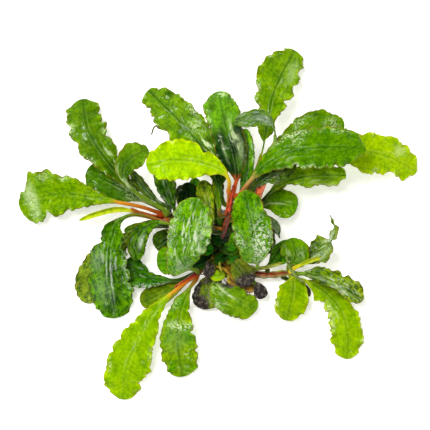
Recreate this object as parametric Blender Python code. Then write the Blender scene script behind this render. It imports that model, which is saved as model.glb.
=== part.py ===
"""Bucephalandra pygmaea 'Bukit Kelam', a small aquarium plant lying on a flat surface.

The plant is a creeping rhizome with five shoots, which lies on the surface, and the
leaves that grow from it. Each leaf is one solid: a thin stalk that widens into a
spoon-shaped blade with a ruffled edge. It is drawn around its midrib, a smooth line
through a few points, from where it leaves the stem to its tip.

The lists below are in millimetres, +Z up. The origin is on the surface, below the
middle of the plant. The model is made in metres.
"""

import math
import random

import bmesh
import bpy
from mathutils import Vector
from mathutils.geometry import interpolate_bezier, intersect_point_line

MM = 0.001
PLANT_NAME = "bucephalandra_pygmaea"

# Driving dimensions, in millimetres
STALK_RADIUS = 0.75       # a leaf stalk is about 1.5 mm thick
STALK_STEP = 4.5          # distance between the cross-sections of a stalk
MIDRIB_HALF_THICKNESS = 0.42
STEM_STEP = 2.2           # distance between the cross-sections of a stem
STEM_SCAR = 0.12          # how much thinner a stem is between its old leaf scars
STEM_TIP = ((0.5, 0.86), (0.86, 0.5))   # a stem's rounded end: how far past it, and how wide, in radii
FIT_GAP = 0.3             # what a stalk or a fork keeps to the stem that it grows from
LEAST_HEIGHT = 0.05       # the underside of a leaf that lies on the surface
LEAST_EDGE = 0.25         # its edge there
FADE_IN = 0.25            # the share of a blade over which the round stalk turns into a thin blade
SCALLOP = 0.03            # how far the edge's waves also move it outward, as a share of the half width
WAVE_SPREAD = (0.7, 1.2)  # no two waves of an edge are the same height
CURVE_SAMPLES = 17        # points on a smooth curve from one given point to the next
MIDRIB_SAMPLES = 96       # points on a whole midrib
COURSE_REACH = 0.02       # a midrib's direction is taken over this share of it, both ways
UP = Vector((0.0, 0.0, 1.0))

# Colours are linear red, green and blue
COLOURS = {
    "young": (0.46, 0.75, 0.004),
    "lime": (0.30, 0.54, 0.003),
    "bright": (0.20, 0.44, 0.003),
    "mid": (0.13, 0.33, 0.003),
    "green": (0.07, 0.25, 0.006),
    "dark": (0.028, 0.12, 0.004),
    "deep": (0.010, 0.05, 0.004),
    "olive": (0.11, 0.18, 0.005),
    "silver": (0.09, 0.17, 0.09),
    "algae": (0.035, 0.035, 0.025),
    "red_stem": (0.50, 0.06, 0.01),
    "brown_stem": (0.32, 0.17, 0.01),
    "green_stem": (0.16, 0.20, 0.01),
}
SHARP_ANGLE = math.radians(60)
LEAF_ROUGHNESS = 0.28
STEM_ROUGHNESS = 0.45

# Each stem: name, colour, the stem it forks from, its centre line, and its radius at both ends
STEMS = [
    ("main_rhizome", "brown_stem", None,
     [(-13.5, 0.2, 2.8), (-7, -4, 2.8), (-1, -9, 2.8), (3, -14, 2.8), (7, -20.5, 2.7), (13, -25.2, 2.6)],
     2.8, 2.5),
    ("west_shoot", "green_stem", "main_rhizome",
     [(-15.6, 1.6, 3.6), (-18, 2.7, 5.0), (-20.3, 3.6, 6.6)], 1.9, 1.5),
    ("crown_stem", "red_stem", "main_rhizome",
     [(-0.6, -7.2, 7.0), (0.8, -4.4, 10.0), (3.2, 1, 14), (4.8, 6.5, 18.5), (5.8, 11, 22.5)], 2.1, 1.5),
    ("south_west_shoot", "green_stem", "main_rhizome",
     [(-2.0, -14.6, 3.6), (-4.8, -17, 4.6), (-7.9, -19.6, 5.6)], 1.8, 1.5),
    ("south_east_shoot", "red_stem", "main_rhizome",
     [(12.6, -19.4, 3.4), (16, -20, 3.8), (22, -20.2, 4.4), (28.4, -19.3, 5.2)], 1.8, 1.5),
    ("east_shoot", "green_stem", "crown_stem",
     [(4.4, -3.6, 8.2), (8.5, 0.2, 8.2), (12.6, 4.4, 8.6), (15, 7, 9.2)], 1.7, 1.4),
]


def leaf(name, colour, midrib, stalk, width, widest=0.62, cup=0.12, roll=0.0, twist=0.0,
         ruffle=0.9, waves=7, narrow=1.3, blunt=2.4):
    """One leaf's sizes.

    midrib: points from near the stem to the blade's tip; the stalk's foot is worked out
    stalk: the share of that line that is stalk
    width, widest: the blade's full width, and where along the blade it is that wide
    cup: how far the edges lift above the midrib, as a share of the half width
    roll, twist: the blade's tilt about its midrib at its base, and what is added to it
        by the tip, in degrees; a positive tilt lifts the left edge, seen from the stem
    ruffle, waves: height of the waves along the edge, and how many there are
    narrow: above 1, the blade's lower part stays narrow for longer
    blunt: how square the tip is, 2 being half an ellipse
    """
    return dict(name=name, colour=colour, midrib=midrib, stalk=stalk, width=width, widest=widest,
                cup=cup, roll=roll, twist=twist, ruffle=ruffle, waves=waves, narrow=narrow, blunt=blunt)


LEAVES = {
    "west_shoot": [
        leaf("west_large_leaf", "bright",
             [(-22.8, 4.4, 7.2), (-30, 6.8, 9.2), (-40, 8.8, 10), (-51, 10.8, 8.6), (-61.6, 12, 7),
              (-70.6, 10.4, 4.6), (-77.9, 6.4, 1.0)], 0.3, 19.2, widest=0.8, cup=0.05, ruffle=1.2,
             waves=8, narrow=1.6, blunt=2.8),
        leaf("north_west_long_leaf", "mid",
             [(-21.6, 6.6, 8.4), (-29, 9.8, 12), (-36.8, 17.5, 13.4), (-45, 27, 13), (-51.4, 38, 8),
              (-53.8, 50.0, 1.2)], 0.26, 13.9, widest=0.68, cup=-0.12, ruffle=1.0, waves=9),
        leaf("west_oval_leaf", "dark",
             [(-21.4, 5.6, 5.6), (-29, 9.2, 6.6), (-37, 13.7, 7.2), (-45.5, 18, 6), (-52.2, 20.8, 3.4)],
             0.26, 14, widest=0.6, cup=0.1, ruffle=0.6, waves=6),
        leaf("north_west_small_leaf", "green",
             [(-19.6, 4.8, 10.8), (-27.4, 9.6, 15), (-34.6, 14.8, 17), (-37.2, 21.2, 18),
              (-33.6, 26.2, 18.4), (-27, 29.4, 17)], 0.56, 10, widest=0.66, cup=0.15, ruffle=0.5,
             waves=5),
        leaf("west_narrow_leaf", "dark",
             [(-18.8, 6.4, 8.2), (-23.5, 9, 9.6), (-29, 14.6, 10.2), (-34, 21, 9.6)], 0.3, 5.5, cup=0.2,
             roll=-35, ruffle=0.3, waves=4),
        leaf("rolled_young_leaf", "young",
             [(-22.6, 2.2, 6.0), (-30, 4.4, 6.8), (-39, 5.8, 7.6), (-47, 4.2, 6.6), (-55, 1.4, 4.8)],
             0.35, 3.2, widest=0.4, cup=0.9, ruffle=0.0, waves=4),
        leaf("south_west_hanging_leaf", "dark",
             [(-20.2, 0.7, 6.8), (-27, 2.8, 9), (-34, 3.6, 12), (-39.4, 0.4, 14), (-42, -6.4, 13.4),
              (-43, -15, 11.6), (-42.4, -26, 6.8), (-40.6, -37.6, 1.0)], 0.3, 17, widest=0.66,
             cup=-0.14, ruffle=1.1, waves=7),
        leaf("south_west_hidden_leaf", "olive",
             [(-17.6, -0.8, 3.0), (-27, -1.4, 3.2), (-36, -5.4, 3.6), (-43.8, -13.6, 3.8),
              (-49.4, -22, 3.2), (-52.4, -31.6, 1.4)], 0.3, 14, cup=0.08, ruffle=0.6, waves=6),
        leaf("south_west_curved_leaf", "dark",
             [(-17.9, 0.1, 7.6), (-23.5, 0.6, 10), (-29, -2, 10.4), (-32, -7.4, 9.2),
              (-31.6, -14.4, 6.8)], 0.22, 7.6, widest=0.6, cup=0.3, roll=-12, ruffle=0.4, waves=5),
        leaf("west_slender_leaf", "dark",
             [(-18.6, -0.2, 5.4), (-27.5, -0.6, 6.2), (-37, -2.8, 5.6)], 0.3, 3.8, cup=0.2, ruffle=0.2,
             waves=3),
        leaf("shaded_leaf_under_young", "dark",
             [(-16.4, 4.6, 6.4), (-18.6, 10, 10), (-20.6, 16.6, 13), (-22.6, 23.6, 14)], 0.15, 8,
             widest=0.6, cup=0.12, ruffle=0.4, waves=4, narrow=1.0),
    ],
    "south_west_shoot": [
        leaf("centre_left_leaf", "green",
             [(-8.0, -18.4, 8.1), (-10.8, -17.4, 13.4), (-12.8, -12.4, 19), (-11, -5, 24),
              (-9.6, 3, 27), (-8.2, 10.4, 27.4)], 0.16, 17, widest=0.56, cup=-0.06, ruffle=0.8, waves=8,
             narrow=0.8),
        leaf("round_leaf_under_centre", "mid",
             [(-9.2, -17.6, 6.2), (-14.6, -15.6, 8.8), (-18.6, -14.6, 9.4), (-24, -14.8, 8)], 0.3, 11,
             widest=0.6, cup=0.05, ruffle=0.3, waves=4, narrow=0.9),
        leaf("south_west_long_leaf", "lime",
             [(-9.8, -21.0, 6.8), (-15, -25.2, 8.8), (-20, -29.4, 9.6), (-25.4, -35.6, 9.6),
              (-29.4, -42.4, 8.6), (-33.2, -50, 6.8), (-36.4, -59, 4.2), (-37.6, -70.2, 0.6)], 0.18,
             16.6, widest=0.7, cup=-0.05, ruffle=1.1, waves=9, narrow=1.5),
        leaf("south_leaf", "green",
             [(-8.2, -21.8, 6.2), (-11.4, -26.4, 8), (-14.4, -34, 9), (-15.6, -43, 8.4),
              (-15, -52, 5.4), (-13.6, -61, 1.6)], 0.12, 14.6, widest=0.68, cup=0.05, ruffle=0.8,
             waves=8, narrow=1.2),
        leaf("west_low_leaf", "dark",
             [(-10.0, -20.2, 5.2), (-16, -22.4, 5.4), (-24, -21.8, 4.6), (-31.6, -19.6, 3.8),
              (-38.6, -17.4, 2.6)], 0.3, 11.5, widest=0.72, cup=0.1, ruffle=0.7, waves=6),
        leaf("olive_low_leaf", "olive",
             [(-8.6, -20.8, 3.2), (-14.6, -24.4, 2.8), (-22.4, -28, 2.4), (-30.6, -31.6, 1.4)], 0.2, 9,
             widest=0.7, cup=0.05, ruffle=0.2, waves=4),
        leaf("algae_leaf_left", "algae",
             [(-1.6, -13.4, 6.6), (-3.0, -16.6, 10), (-4.2, -21, 11)], 0.2, 5.4, cup=0.1, ruffle=0.2,
             waves=3, narrow=0.8),
    ],
    "main_rhizome": [
        leaf("inner_shaded_leaf", "deep",
             [(-12.8, -3.4, 5.6), (-18, -4.8, 6.8), (-24.6, -9.4, 5.4)], 0.2, 9, cup=0.15, ruffle=0.3,
             waves=4),
        leaf("bud_leaf", "lime",
             [(2.4, -18.6, 5.6), (1.4, -20.2, 8.4), (-0.4, -20.4, 9.4), (-2.4, -19.4, 9.6)], 0.25, 4.6,
             cup=0.1, ruffle=0.15, waves=3, narrow=0.7),
        leaf("round_front_leaf", "mid",
             [(4.6, -15.2, 6.1), (6.4, -15.2, 9), (9.6, -18.8, 10), (12.6, -24.6, 8)], 0.16, 8.8,
             widest=0.6, cup=0.08, ruffle=0.2, waves=4, narrow=0.8),
        leaf("algae_leaf_right", "algae",
             [(13.8, -22.3, 5.6), (16.4, -25.4, 5.8), (18.6, -29.6, 4.2)], 0.3, 5.4, cup=0.1,
             ruffle=0.2, waves=3, narrow=0.8),
        leaf("algae_front_leaf", "algae",
             [(0.8, -17.6, 4.6), (-2.2, -22.4, 4.4), (-4.4, -27.6, 4), (-7.0, -33.6, 2.2)], 0.2, 9.8,
             widest=0.6, cup=0.08, ruffle=0.3, waves=4, narrow=0.9),
        leaf("front_leaf", "green",
             [(2.2, -20.4, 5.0), (0.6, -23.6, 7), (3.6, -27.4, 7.6), (9.6, -31.0, 6.2),
              (16.2, -33.6, 3.8)], 0.16, 11.4, widest=0.6, cup=-0.05, ruffle=0.5, waves=5),
        leaf("centre_small_leaf_1", "deep",
             [(-3.4, -4.0, 6.6), (-5.6, -4.6, 10), (-5.0, -8.6, 12), (-2.2, -11.6, 12)], 0.2, 6.4,
             cup=0.1, ruffle=0.2, waves=3, narrow=0.8),
        leaf("centre_small_leaf_2", "dark",
             [(1.8, -11.2, 6.2), (5.4, -10.8, 9), (7.2, -7.4, 10.6), (7.6, -3, 11.4)], 0.2, 6, cup=0.1,
             ruffle=0.2, waves=3, narrow=0.8),
        leaf("inner_algae_leaf", "algae",
             [(-9.8, 0.8, 6), (-12.6, 7, 9), (-14.4, 15.6, 10)], 0.2, 5.6, cup=0.1, ruffle=0.4, waves=4),
        leaf("inner_dark_leaf", "deep",
             [(-6, -1.6, 6.4), (-7.6, 7.6, 8), (-9, 18.4, 9)], 0.3, 6, cup=0.1, ruffle=0.3, waves=4),
    ],
    "south_east_shoot": [
        leaf("centre_right_leaf", "green",
             [(14.6, -18.0, 5.7), (16, -17, 11), (15.6, -13.6, 17), (14.6, -7, 22.6), (13.2, 2, 25.8),
              (10.6, 13.2, 26.4)], 0.22, 15.4, widest=0.5, cup=-0.08, ruffle=0.6, waves=7, narrow=0.75),
        leaf("south_east_round_leaf", "mid",
             [(28.6, -16.8, 6.4), (31, -13.6, 9), (30.8, -10, 10.6), (29.6, -5.4, 10)], 0.2, 11.6,
             widest=0.6, cup=0.05, ruffle=0.3, waves=4, narrow=0.9),
        leaf("south_east_side_leaf", "dark",
             [(20, -17.4, 5.2), (23.4, -12.6, 6.4), (27.6, -6.2, 6.4)], 0.2, 6.4, cup=0.1, ruffle=0.3,
             waves=4),
        leaf("curled_leaf", "mid",
             [(30.4, -17.4, 5.4), (35, -14.6, 7.4), (40, -11.2, 9), (44.8, -7.2, 10.4),
              (46.8, -2.6, 12), (44.8, 3.6, 12)], 0.14, 11, widest=0.46, cup=0.1, roll=-8, twist=-62,
             ruffle=0.8, waves=7),
        leaf("south_east_rolled_leaf", "young",
             [(30.6, -18.6, 7.4), (34, -17.6, 8.6), (38.4, -16, 9.6)], 0.3, 2.2, widest=0.4, cup=0.8,
             ruffle=0.0, waves=3),
        leaf("south_east_dark_leaf", "dark",
             [(30.6, -19.8, 5.4), (36, -19.8, 8.2), (42.6, -21.4, 9.6), (50, -24.6, 8.6),
              (58.2, -30.4, 5)], 0.14, 9.6, widest=0.6, cup=0.08, roll=-18, ruffle=0.7, waves=7,
             narrow=1.0),
        leaf("south_east_long_leaf", "lime",
             [(29.8, -21.2, 3.6), (36, -23, 4), (43.6, -27.6, 4.6), (48.6, -33.2, 5),
              (51.4, -40.6, 4.4), (52.4, -47.6, 2.8), (51.8, -54, 0.8)], 0.16, 12.8, widest=0.6,
             cup=-0.05, ruffle=0.9, waves=8, narrow=0.9),
        leaf("algae_scrap_leaf", "algae",
             [(26.4, -21.2, 2.4), (30, -23, 1.5), (34.6, -25.6, 1.5), (37, -29, 1.0)], 0.3, 3.6,
             cup=0.1, ruffle=0.2, waves=3),
        leaf("south_east_lime_leaf", "lime",
             [(27.8, -21.6, 4.4), (28.6, -25, 5.6), (30, -31, 5.4), (29.8, -38.2, 3)], 0.16, 13.6,
             widest=0.6, cup=0.08, ruffle=0.5, waves=6, narrow=0.8),
    ],
    "east_shoot": [
        leaf("leaf_behind_centre_right", "dark",
             [(12.2, 0.8, 8.2), (15.4, -0.8, 9), (18.6, -5, 10.4), (17.4, -12.6, 10)], 0.2, 9,
             widest=0.5, cup=0.05, ruffle=0.4, waves=4, narrow=0.9),
        leaf("pointed_small_leaf", "deep",
             [(15.2, 3.6, 8.4), (19.4, 3, 8.8), (22.8, -0.4, 9), (25, -5.6, 7.6)], 0.3, 4, cup=0.2,
             ruffle=0.3, waves=3),
        leaf("east_lime_leaf", "lime",
             [(15.8, 10, 9.6), (18.6, 17, 11), (24.6, 23.6, 12), (34, 28, 13.4), (46, 29.8, 13.6),
              (57.4, 29.2, 12), (69, 26.4, 7.4), (79.8, 20.8, 1.0)], 0.4, 15, widest=0.62, cup=0.0,
             ruffle=1.0, waves=9, narrow=1.2),
        leaf("east_dark_leaf", "dark",
             [(17.4, 8.4, 8.8), (23, 14.2, 9.2), (31, 17.8, 9.4), (41, 19.4, 9), (51.4, 19, 6.6)], 0.18,
             9.4, widest=0.6, cup=0.1, roll=-24, ruffle=0.7, waves=7, narrow=1.0),
        leaf("east_oval_leaf", "green",
             [(17.2, 7.0, 6.6), (21, 8.6, 7), (26.2, 8.6, 7), (32.2, 7.6, 5)], 0.12, 11, widest=0.62,
             cup=0.18, ruffle=0.2, waves=4, narrow=1.0),
    ],
    "crown_stem": [
        leaf("young_top_leaf", "young",
             [(4.6, 12.6, 24), (4.6, 17.2, 28), (1.8, 21, 30.4), (-4, 23.4, 31.6), (-11, 24.8, 31.6),
              (-19, 25, 30), (-27.6, 22.6, 27)], 0.2, 16.4, widest=0.64, cup=0.06, ruffle=1.0, waves=7,
             narrow=1.3),
        leaf("north_north_west_leaf", "mid",
             [(2.6, 8.0, 18.6), (1, 14.6, 21), (-2.4, 24, 21), (-7.4, 32, 19), (-13.6, 39.4, 15.4),
              (-20.6, 46.6, 10.6), (-27.4, 53.4, 5.4)], 0.2, 15.8, widest=0.56, cup=-0.08, ruffle=1.0,
             waves=8, narrow=1.2),
        leaf("north_round_leaf", "dark",
             [(6.6, 13.4, 23.4), (7.8, 19, 25.4), (6.8, 27, 25.2), (4.4, 35, 22.6), (2.2, 44, 18),
              (0.6, 52.6, 12.4)], 0.16, 13.4, widest=0.76, cup=-0.1, ruffle=0.6, waves=6, narrow=1.2),
        leaf("silver_twisted_leaf", "silver",
             [(8.6, 5.0, 16.6), (15.2, 15, 18.2), (20.4, 24.5, 19.4), (22.6, 32, 22.6), (22, 38, 27),
              (17.6, 41.4, 29.4), (12, 41, 29), (6.6, 39.6, 27)], 0.62, 7, widest=0.5, cup=0.1,
             twist=-20, ruffle=0.4, waves=4),
        leaf("north_narrow_leaf", "dark",
             [(8.2, 10.2, 20.6), (11.6, 15.6, 21.6), (13, 25, 22), (11.4, 37.6, 20)], 0.16, 5.4,
             cup=0.15, ruffle=0.4, waves=6, narrow=0.9),
        leaf("north_north_east_leaf", "bright",
             [(7.4, 4.4, 13.2), (13.2, 16, 16), (17.4, 27, 16), (19.6, 38, 15), (21.8, 50, 11.6),
              (26.2, 60.6, 6.4), (31.2, 69.4, 1.0)], 0.34, 16, widest=0.72, cup=0.06, ruffle=1.1,
             waves=9, narrow=1.5, blunt=3.0),
        leaf("north_east_back_leaf", "green",
             [(7.6, 2.6, 11.0), (15.4, 14.4, 13.4), (21.4, 24, 15), (26.6, 31.4, 18), (33.6, 36.6, 19),
              (42, 38.8, 18), (50.4, 38.4, 14.6)], 0.42, 12.6, widest=0.5, cup=0.05, ruffle=0.9,
             waves=8, narrow=0.9),
        leaf("east_north_east_leaf", "green",
             [(8.6, 11.4, 22.4), (12.6, 16.6, 25.4), (19, 23.2, 28), (27, 27.6, 29.4), (37, 29.6, 29.6),
              (48, 30.2, 27.6), (58.4, 29.4, 24)], 0.16, 16, widest=0.62, cup=-0.08, ruffle=1.0,
             waves=9, narrow=1.2, blunt=3.0),
        leaf("folded_dark_leaf", "dark",
             [(9.2, 7.2, 18.8), (15, 14.4, 21.4), (22.4, 19.4, 22.8), (31, 24, 23.4)], 0.2, 8, cup=0.15,
             roll=14, ruffle=0.6, waves=5),
        leaf("inner_narrow_leaf_1", "dark",
             [(-1.4, -3.2, 12.2), (-2.4, 3.4, 14.6), (-5.8, 17.4, 16.4)], 0.2, 4.8, cup=0.15,
             ruffle=0.3, waves=5),
        leaf("inner_narrow_leaf_2", "green",
             [(1.2, 3.4, 17), (0.6, 10, 18), (-0.4, 19.6, 17)], 0.2, 4, cup=0.2, ruffle=0.3, waves=5),
        leaf("inner_small_leaf", "lime",
             [(-0.8, -1.4, 10.6), (-2.6, 5, 11), (-5.6, 12.8, 11)], 0.3, 5, cup=0.15, ruffle=0.2,
             waves=4),
    ],
}


def empty_scene():
    for old in list(bpy.data.objects):
        bpy.data.objects.remove(old)


def smooth_line(points, count):
    """count + 1 points at even distances along a smooth curve through the given ones."""
    marks = [Vector(p) for p in points]
    ends = [marks[0] * 2 - marks[1]] + marks + [marks[-1] * 2 - marks[-2]]
    course = [(after - before).normalized() for before, after in zip(ends, ends[2:])]
    dense = []
    for a, b, way_a, way_b in zip(marks, marks[1:], course, course[1:]):
        reach = (b - a).length / 3
        dense += interpolate_bezier(a, a + way_a * reach, b - way_b * reach, b, CURVE_SAMPLES)[:-1]
    dense.append(marks[-1])
    run = [0.0]
    for a, b in zip(dense, dense[1:]):
        run.append(run[-1] + (b - a).length)
    line = []
    k = 0
    for i in range(count + 1):
        goal = run[-1] * i / count
        while k < len(run) - 2 and run[k + 1] < goal:
            k += 1
        line.append(dense[k].lerp(dense[k + 1], (goal - run[k]) / (run[k + 1] - run[k])))
    return line, run[-1]


def foot_on_stem(stem_line, place):
    """Where a stalk or a fork that leads to a place starts: just clear of the stem's surface."""
    line, radius_start, radius_end = stem_line
    best = None
    for i, (a, b) in enumerate(zip(line, line[1:])):
        near, share = intersect_point_line(place, a, b)
        share = min(1.0, max(0.0, share))
        near = a.lerp(b, share)
        if best is None or (place - near).length < best[0]:
            best = ((place - near).length, near, (i + share) / (len(line) - 1))
    away, near, along = best
    radius = radius_start + (radius_end - radius_start) * along
    return near + (place - near) * ((radius + FIT_GAP) / away)


class Midrib:
    """The middle line of a leaf, read at any share of its length."""

    def __init__(self, points):
        self.line, self.length = smooth_line(points, MIDRIB_SAMPLES)

    def place(self, share):
        x = min(max(share, 0.0), 1.0) * MIDRIB_SAMPLES
        k = min(int(x), MIDRIB_SAMPLES - 1)
        return self.line[k].lerp(self.line[k + 1], x - k)

    def frame(self, share, tilt):
        """The point there, and the leaf's sideways and upward directions, tilted by so many degrees."""
        along = (self.place(share + COURSE_REACH) - self.place(share - COURSE_REACH)).normalized()
        side = along.cross(UP).normalized()
        up = side.cross(along)
        c = math.cos(math.radians(tilt))
        s = math.sin(math.radians(tilt))
        return self.place(share), side * c - up * s, up * c + side * s


def blade_half_width(spec, along):
    """Half the blade's width, from its base at 0 to its tip at 1."""
    full = 0.5 * spec["width"]
    base = min(STALK_RADIUS, full)
    widest = spec["widest"]
    if along <= 0.0:
        return base
    if along < widest:
        return base + (full - base) * math.sin(0.5 * math.pi * along / widest) ** spec["narrow"]
    fall = (along - widest) / (1 - widest)
    return full * math.sqrt(max(0.0, 1 - fall ** spec["blunt"]))


def leaf_sections(spec, stem_line, seed):
    """The leaf's cross-sections: left edge, top of the midrib, right edge and its underside."""
    rng = random.Random(seed)
    same_side = rng.choice((1.0, -1.0))
    foot = foot_on_stem(stem_line, Vector(spec["midrib"][0]))
    midrib = Midrib([foot] + spec["midrib"])
    stalk = spec["stalk"]
    steps = max(2, round(midrib.length * stalk / STALK_STEP))
    crests = 2 * spec["waves"]
    shares = [stalk * i / steps for i in range(steps)]
    shares += [stalk + (1 - stalk) * (i + 0.5) / crests for i in range(crests)]
    sections = []
    for share in shares:
        along = (share - stalk) / (1 - stalk)
        half = blade_half_width(spec, along)
        blade = min(1.0, max(0.0, along / FADE_IN))
        centre, side, up = midrib.frame(share, spec["roll"] + spec["twist"] * max(0.0, along))
        thick = STALK_RADIUS + (MIDRIB_HALF_THICKNESS - STALK_RADIUS) * blade
        thick = min(thick, half)
        wave = math.sin(2 * math.pi * spec["waves"] * along) if along > 0 else 0.0
        swell = spec["ruffle"] * min(1.0, 2 * half / spec["width"]) * blade
        rise = spec["cup"] * half * blade
        left_up = rise + wave * swell * rng.uniform(*WAVE_SPREAD)
        right_up = rise + same_side * wave * swell * rng.uniform(*WAVE_SPREAD)
        reach = half * (1 + SCALLOP * wave * min(1.0, spec["ruffle"]) * blade)
        left = centre - side * reach + up * left_up
        right = centre + side * reach + up * right_up
        top = centre + up * thick
        under = centre - up * thick
        sections.append([above_surface(left, LEAST_EDGE), above_surface(top, 2 * MIDRIB_HALF_THICKNESS),
                         above_surface(right, LEAST_EDGE), above_surface(under, LEAST_HEIGHT)])
    tip = above_surface(midrib.place(1.0), LEAST_EDGE)
    return sections, tip


def above_surface(point, least):
    """A leaf that reaches the surface lies on it."""
    return Vector((point.x, point.y, max(point.z, least)))


def loft(name, sections, tip):
    """A closed skin over cross-sections of equal count, with a flat start and a pointed end."""
    bm = bmesh.new()
    rings = [[bm.verts.new(p * MM) for p in section] for section in sections]
    point = bm.verts.new(tip * MM)
    count = len(sections[0])
    bm.faces.new(reversed(rings[0]))
    for near, far in zip(rings, rings[1:]):
        for i in range(count):
            j = (i + 1) % count
            if i % 2 == 0:
                bm.faces.new((near[i], near[j], far[j]))
                bm.faces.new((near[i], far[j], far[i]))
            else:
                bm.faces.new((near[i], near[j], far[i]))
                bm.faces.new((near[j], far[j], far[i]))
    for i in range(count):
        bm.faces.new((rings[-1][i], rings[-1][(i + 1) % count], point))
    bmesh.ops.recalc_face_normals(bm, faces=bm.faces)
    mesh = bpy.data.meshes.new(name)
    bm.to_mesh(mesh)
    bm.free()
    mesh.shade_smooth()
    mesh.set_sharp_from_angle(angle=SHARP_ANGLE)
    return bpy.data.objects.new(name, mesh)


def stem_course(points, parent_line):
    """A stem's centre line, in even steps; a shoot's starts at the surface of the stem it forks from."""
    if parent_line:
        points = [foot_on_stem(parent_line, Vector(points[0]))] + points
    length = smooth_line(points, CURVE_SAMPLES)[1]
    return smooth_line(points, round(length / STEM_STEP))[0]


def stem(name, line, radius_start, radius_end, rounded_start):
    """A knobbly round stem with a rounded end, a little thinner at every second cross-section."""
    last = len(line) - 1
    rings = []
    for i, place in enumerate(line):
        swell = 1.0 if (last - i) % 2 == 0 else 1.0 - STEM_SCAR
        rings.append((place, (radius_start + (radius_end - radius_start) * i / last) * swell))
    ahead = (line[-1] - line[-2]).normalized()
    rings += [(line[-1] + ahead * (out * radius_end), radius_end * wide) for out, wide in STEM_TIP]
    if rounded_start:
        back = (line[0] - line[1]).normalized()
        tip = [(line[0] + back * (out * radius_start), radius_start * wide) for out, wide in STEM_TIP]
        rings = tip[::-1] + rings
    curve = bpy.data.curves.new(name, "CURVE")
    curve.dimensions = "3D"
    curve.bevel_depth = MM
    curve.bevel_resolution = 2
    curve.use_fill_caps = True
    spline = curve.splines.new("POLY")
    spline.points.add(len(rings) - 1)
    for point, (place, radius) in zip(spline.points, rings):
        point.co = (*(place * MM), 1.0)
        point.radius = radius
    return bpy.data.objects.new(name, curve)


def material(name, colour, roughness):
    mat = bpy.data.materials.new(name)
    mat.use_nodes = True
    surface = mat.node_tree.nodes["Principled BSDF"]
    surface.inputs["Base Color"].default_value = (*COLOURS[colour], 1.0)
    surface.inputs["Roughness"].default_value = roughness
    surface.inputs["Metallic"].default_value = 0.0
    return mat


def main():
    empty_scene()
    plant = bpy.data.collections.new(PLANT_NAME)
    bpy.context.scene.collection.children.link(plant)
    stem_lines = {}
    for name, colour, parent, points, radius_start, radius_end in STEMS:
        line = stem_course(points, stem_lines.get(parent))
        stem_lines[name] = (line, radius_start, radius_end)
        obj = stem(name, line, radius_start, radius_end, parent is None)
        obj.data.materials.append(material(name, colour, STEM_ROUGHNESS))
        plant.objects.link(obj)
    stem_and_leaf = [(stem_name, spec) for stem_name, leaves in LEAVES.items() for spec in leaves]
    for seed, (stem_name, spec) in enumerate(stem_and_leaf):
        obj = loft(spec["name"], *leaf_sections(spec, stem_lines[stem_name], seed))
        obj.data.materials.append(material(spec["name"], spec["colour"], LEAF_ROUGHNESS))
        plant.objects.link(obj)


main()
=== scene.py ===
"""Looks of a Bucephalandra pygmaea 'Bukit Kelam', a small aquarium plant lying on a white table.

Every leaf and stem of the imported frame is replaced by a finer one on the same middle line:
thin wet blades with ruffled, scalloped edges, a midrib and fine veins, on round stalks that
grow out of knobbly stems. The plant is seen from straight above.

The lists below are in millimetres, as in the part's own source, +Z up, with the origin on the
surface below the middle of the plant. The meshes are made in metres.
"""

import math
import random

import bpy
import numpy as np
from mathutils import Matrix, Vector
from mathutils.geometry import interpolate_bezier, intersect_point_line


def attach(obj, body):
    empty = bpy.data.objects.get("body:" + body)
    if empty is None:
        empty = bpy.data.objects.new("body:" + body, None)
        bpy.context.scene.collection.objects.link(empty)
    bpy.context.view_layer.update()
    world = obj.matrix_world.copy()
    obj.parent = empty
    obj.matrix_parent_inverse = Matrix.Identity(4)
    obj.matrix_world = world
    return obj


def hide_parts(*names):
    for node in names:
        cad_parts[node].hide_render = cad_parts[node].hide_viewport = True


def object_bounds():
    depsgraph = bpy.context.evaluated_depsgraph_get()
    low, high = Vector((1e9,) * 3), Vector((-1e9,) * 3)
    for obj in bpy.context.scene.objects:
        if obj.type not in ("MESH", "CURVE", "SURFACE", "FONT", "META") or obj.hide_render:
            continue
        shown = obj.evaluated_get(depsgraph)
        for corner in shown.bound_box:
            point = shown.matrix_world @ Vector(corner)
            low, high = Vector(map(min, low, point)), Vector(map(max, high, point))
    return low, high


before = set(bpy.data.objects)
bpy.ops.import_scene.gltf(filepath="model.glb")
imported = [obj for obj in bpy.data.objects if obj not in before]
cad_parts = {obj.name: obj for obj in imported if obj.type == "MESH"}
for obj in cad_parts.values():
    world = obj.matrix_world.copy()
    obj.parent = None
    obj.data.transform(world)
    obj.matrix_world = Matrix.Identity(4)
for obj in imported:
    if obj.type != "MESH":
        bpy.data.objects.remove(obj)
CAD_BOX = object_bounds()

MM = 0.001

# Camera: straight above the plant. One pixel of the photo is 0.4 mm on the table.
PIXEL = 0.4
PHOTO_SIDE = 430
CAMERA_HEIGHT = 1200.0
CAMERA_OVER = (-0.8, 3.6)  # the place that it is straight above
SENSOR = 36.0
TABLE_SIDE = 12.0         # of the white table top, in metres

# The leaf's own shape, as in the part's source
STALK_RADIUS = 0.75
FIT_GAP = 0.3             # between a stalk's foot and its stem
LEAST_HEIGHT = 0.05       # of a leaf's underside above the surface
LEAST_EDGE = 0.2          # and of its edge
LEAST_TOP = 0.3           # and of its upper side
CLAMP_SOFTNESS = 0.12     # how gently a leaf comes down to these
FADE_IN = 0.25            # the share of a blade over which its cup and ruffles grow
SCALLOP = 0.03            # how much the broad ruffles widen and narrow the blade
CURVE_SAMPLES = 17
MIDRIB_SAMPLES = 192
COURSE_REACH = 0.02       # how far round a place its midrib's direction is taken, as a share
UP = Vector((0.0, 0.0, 1.0))

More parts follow.
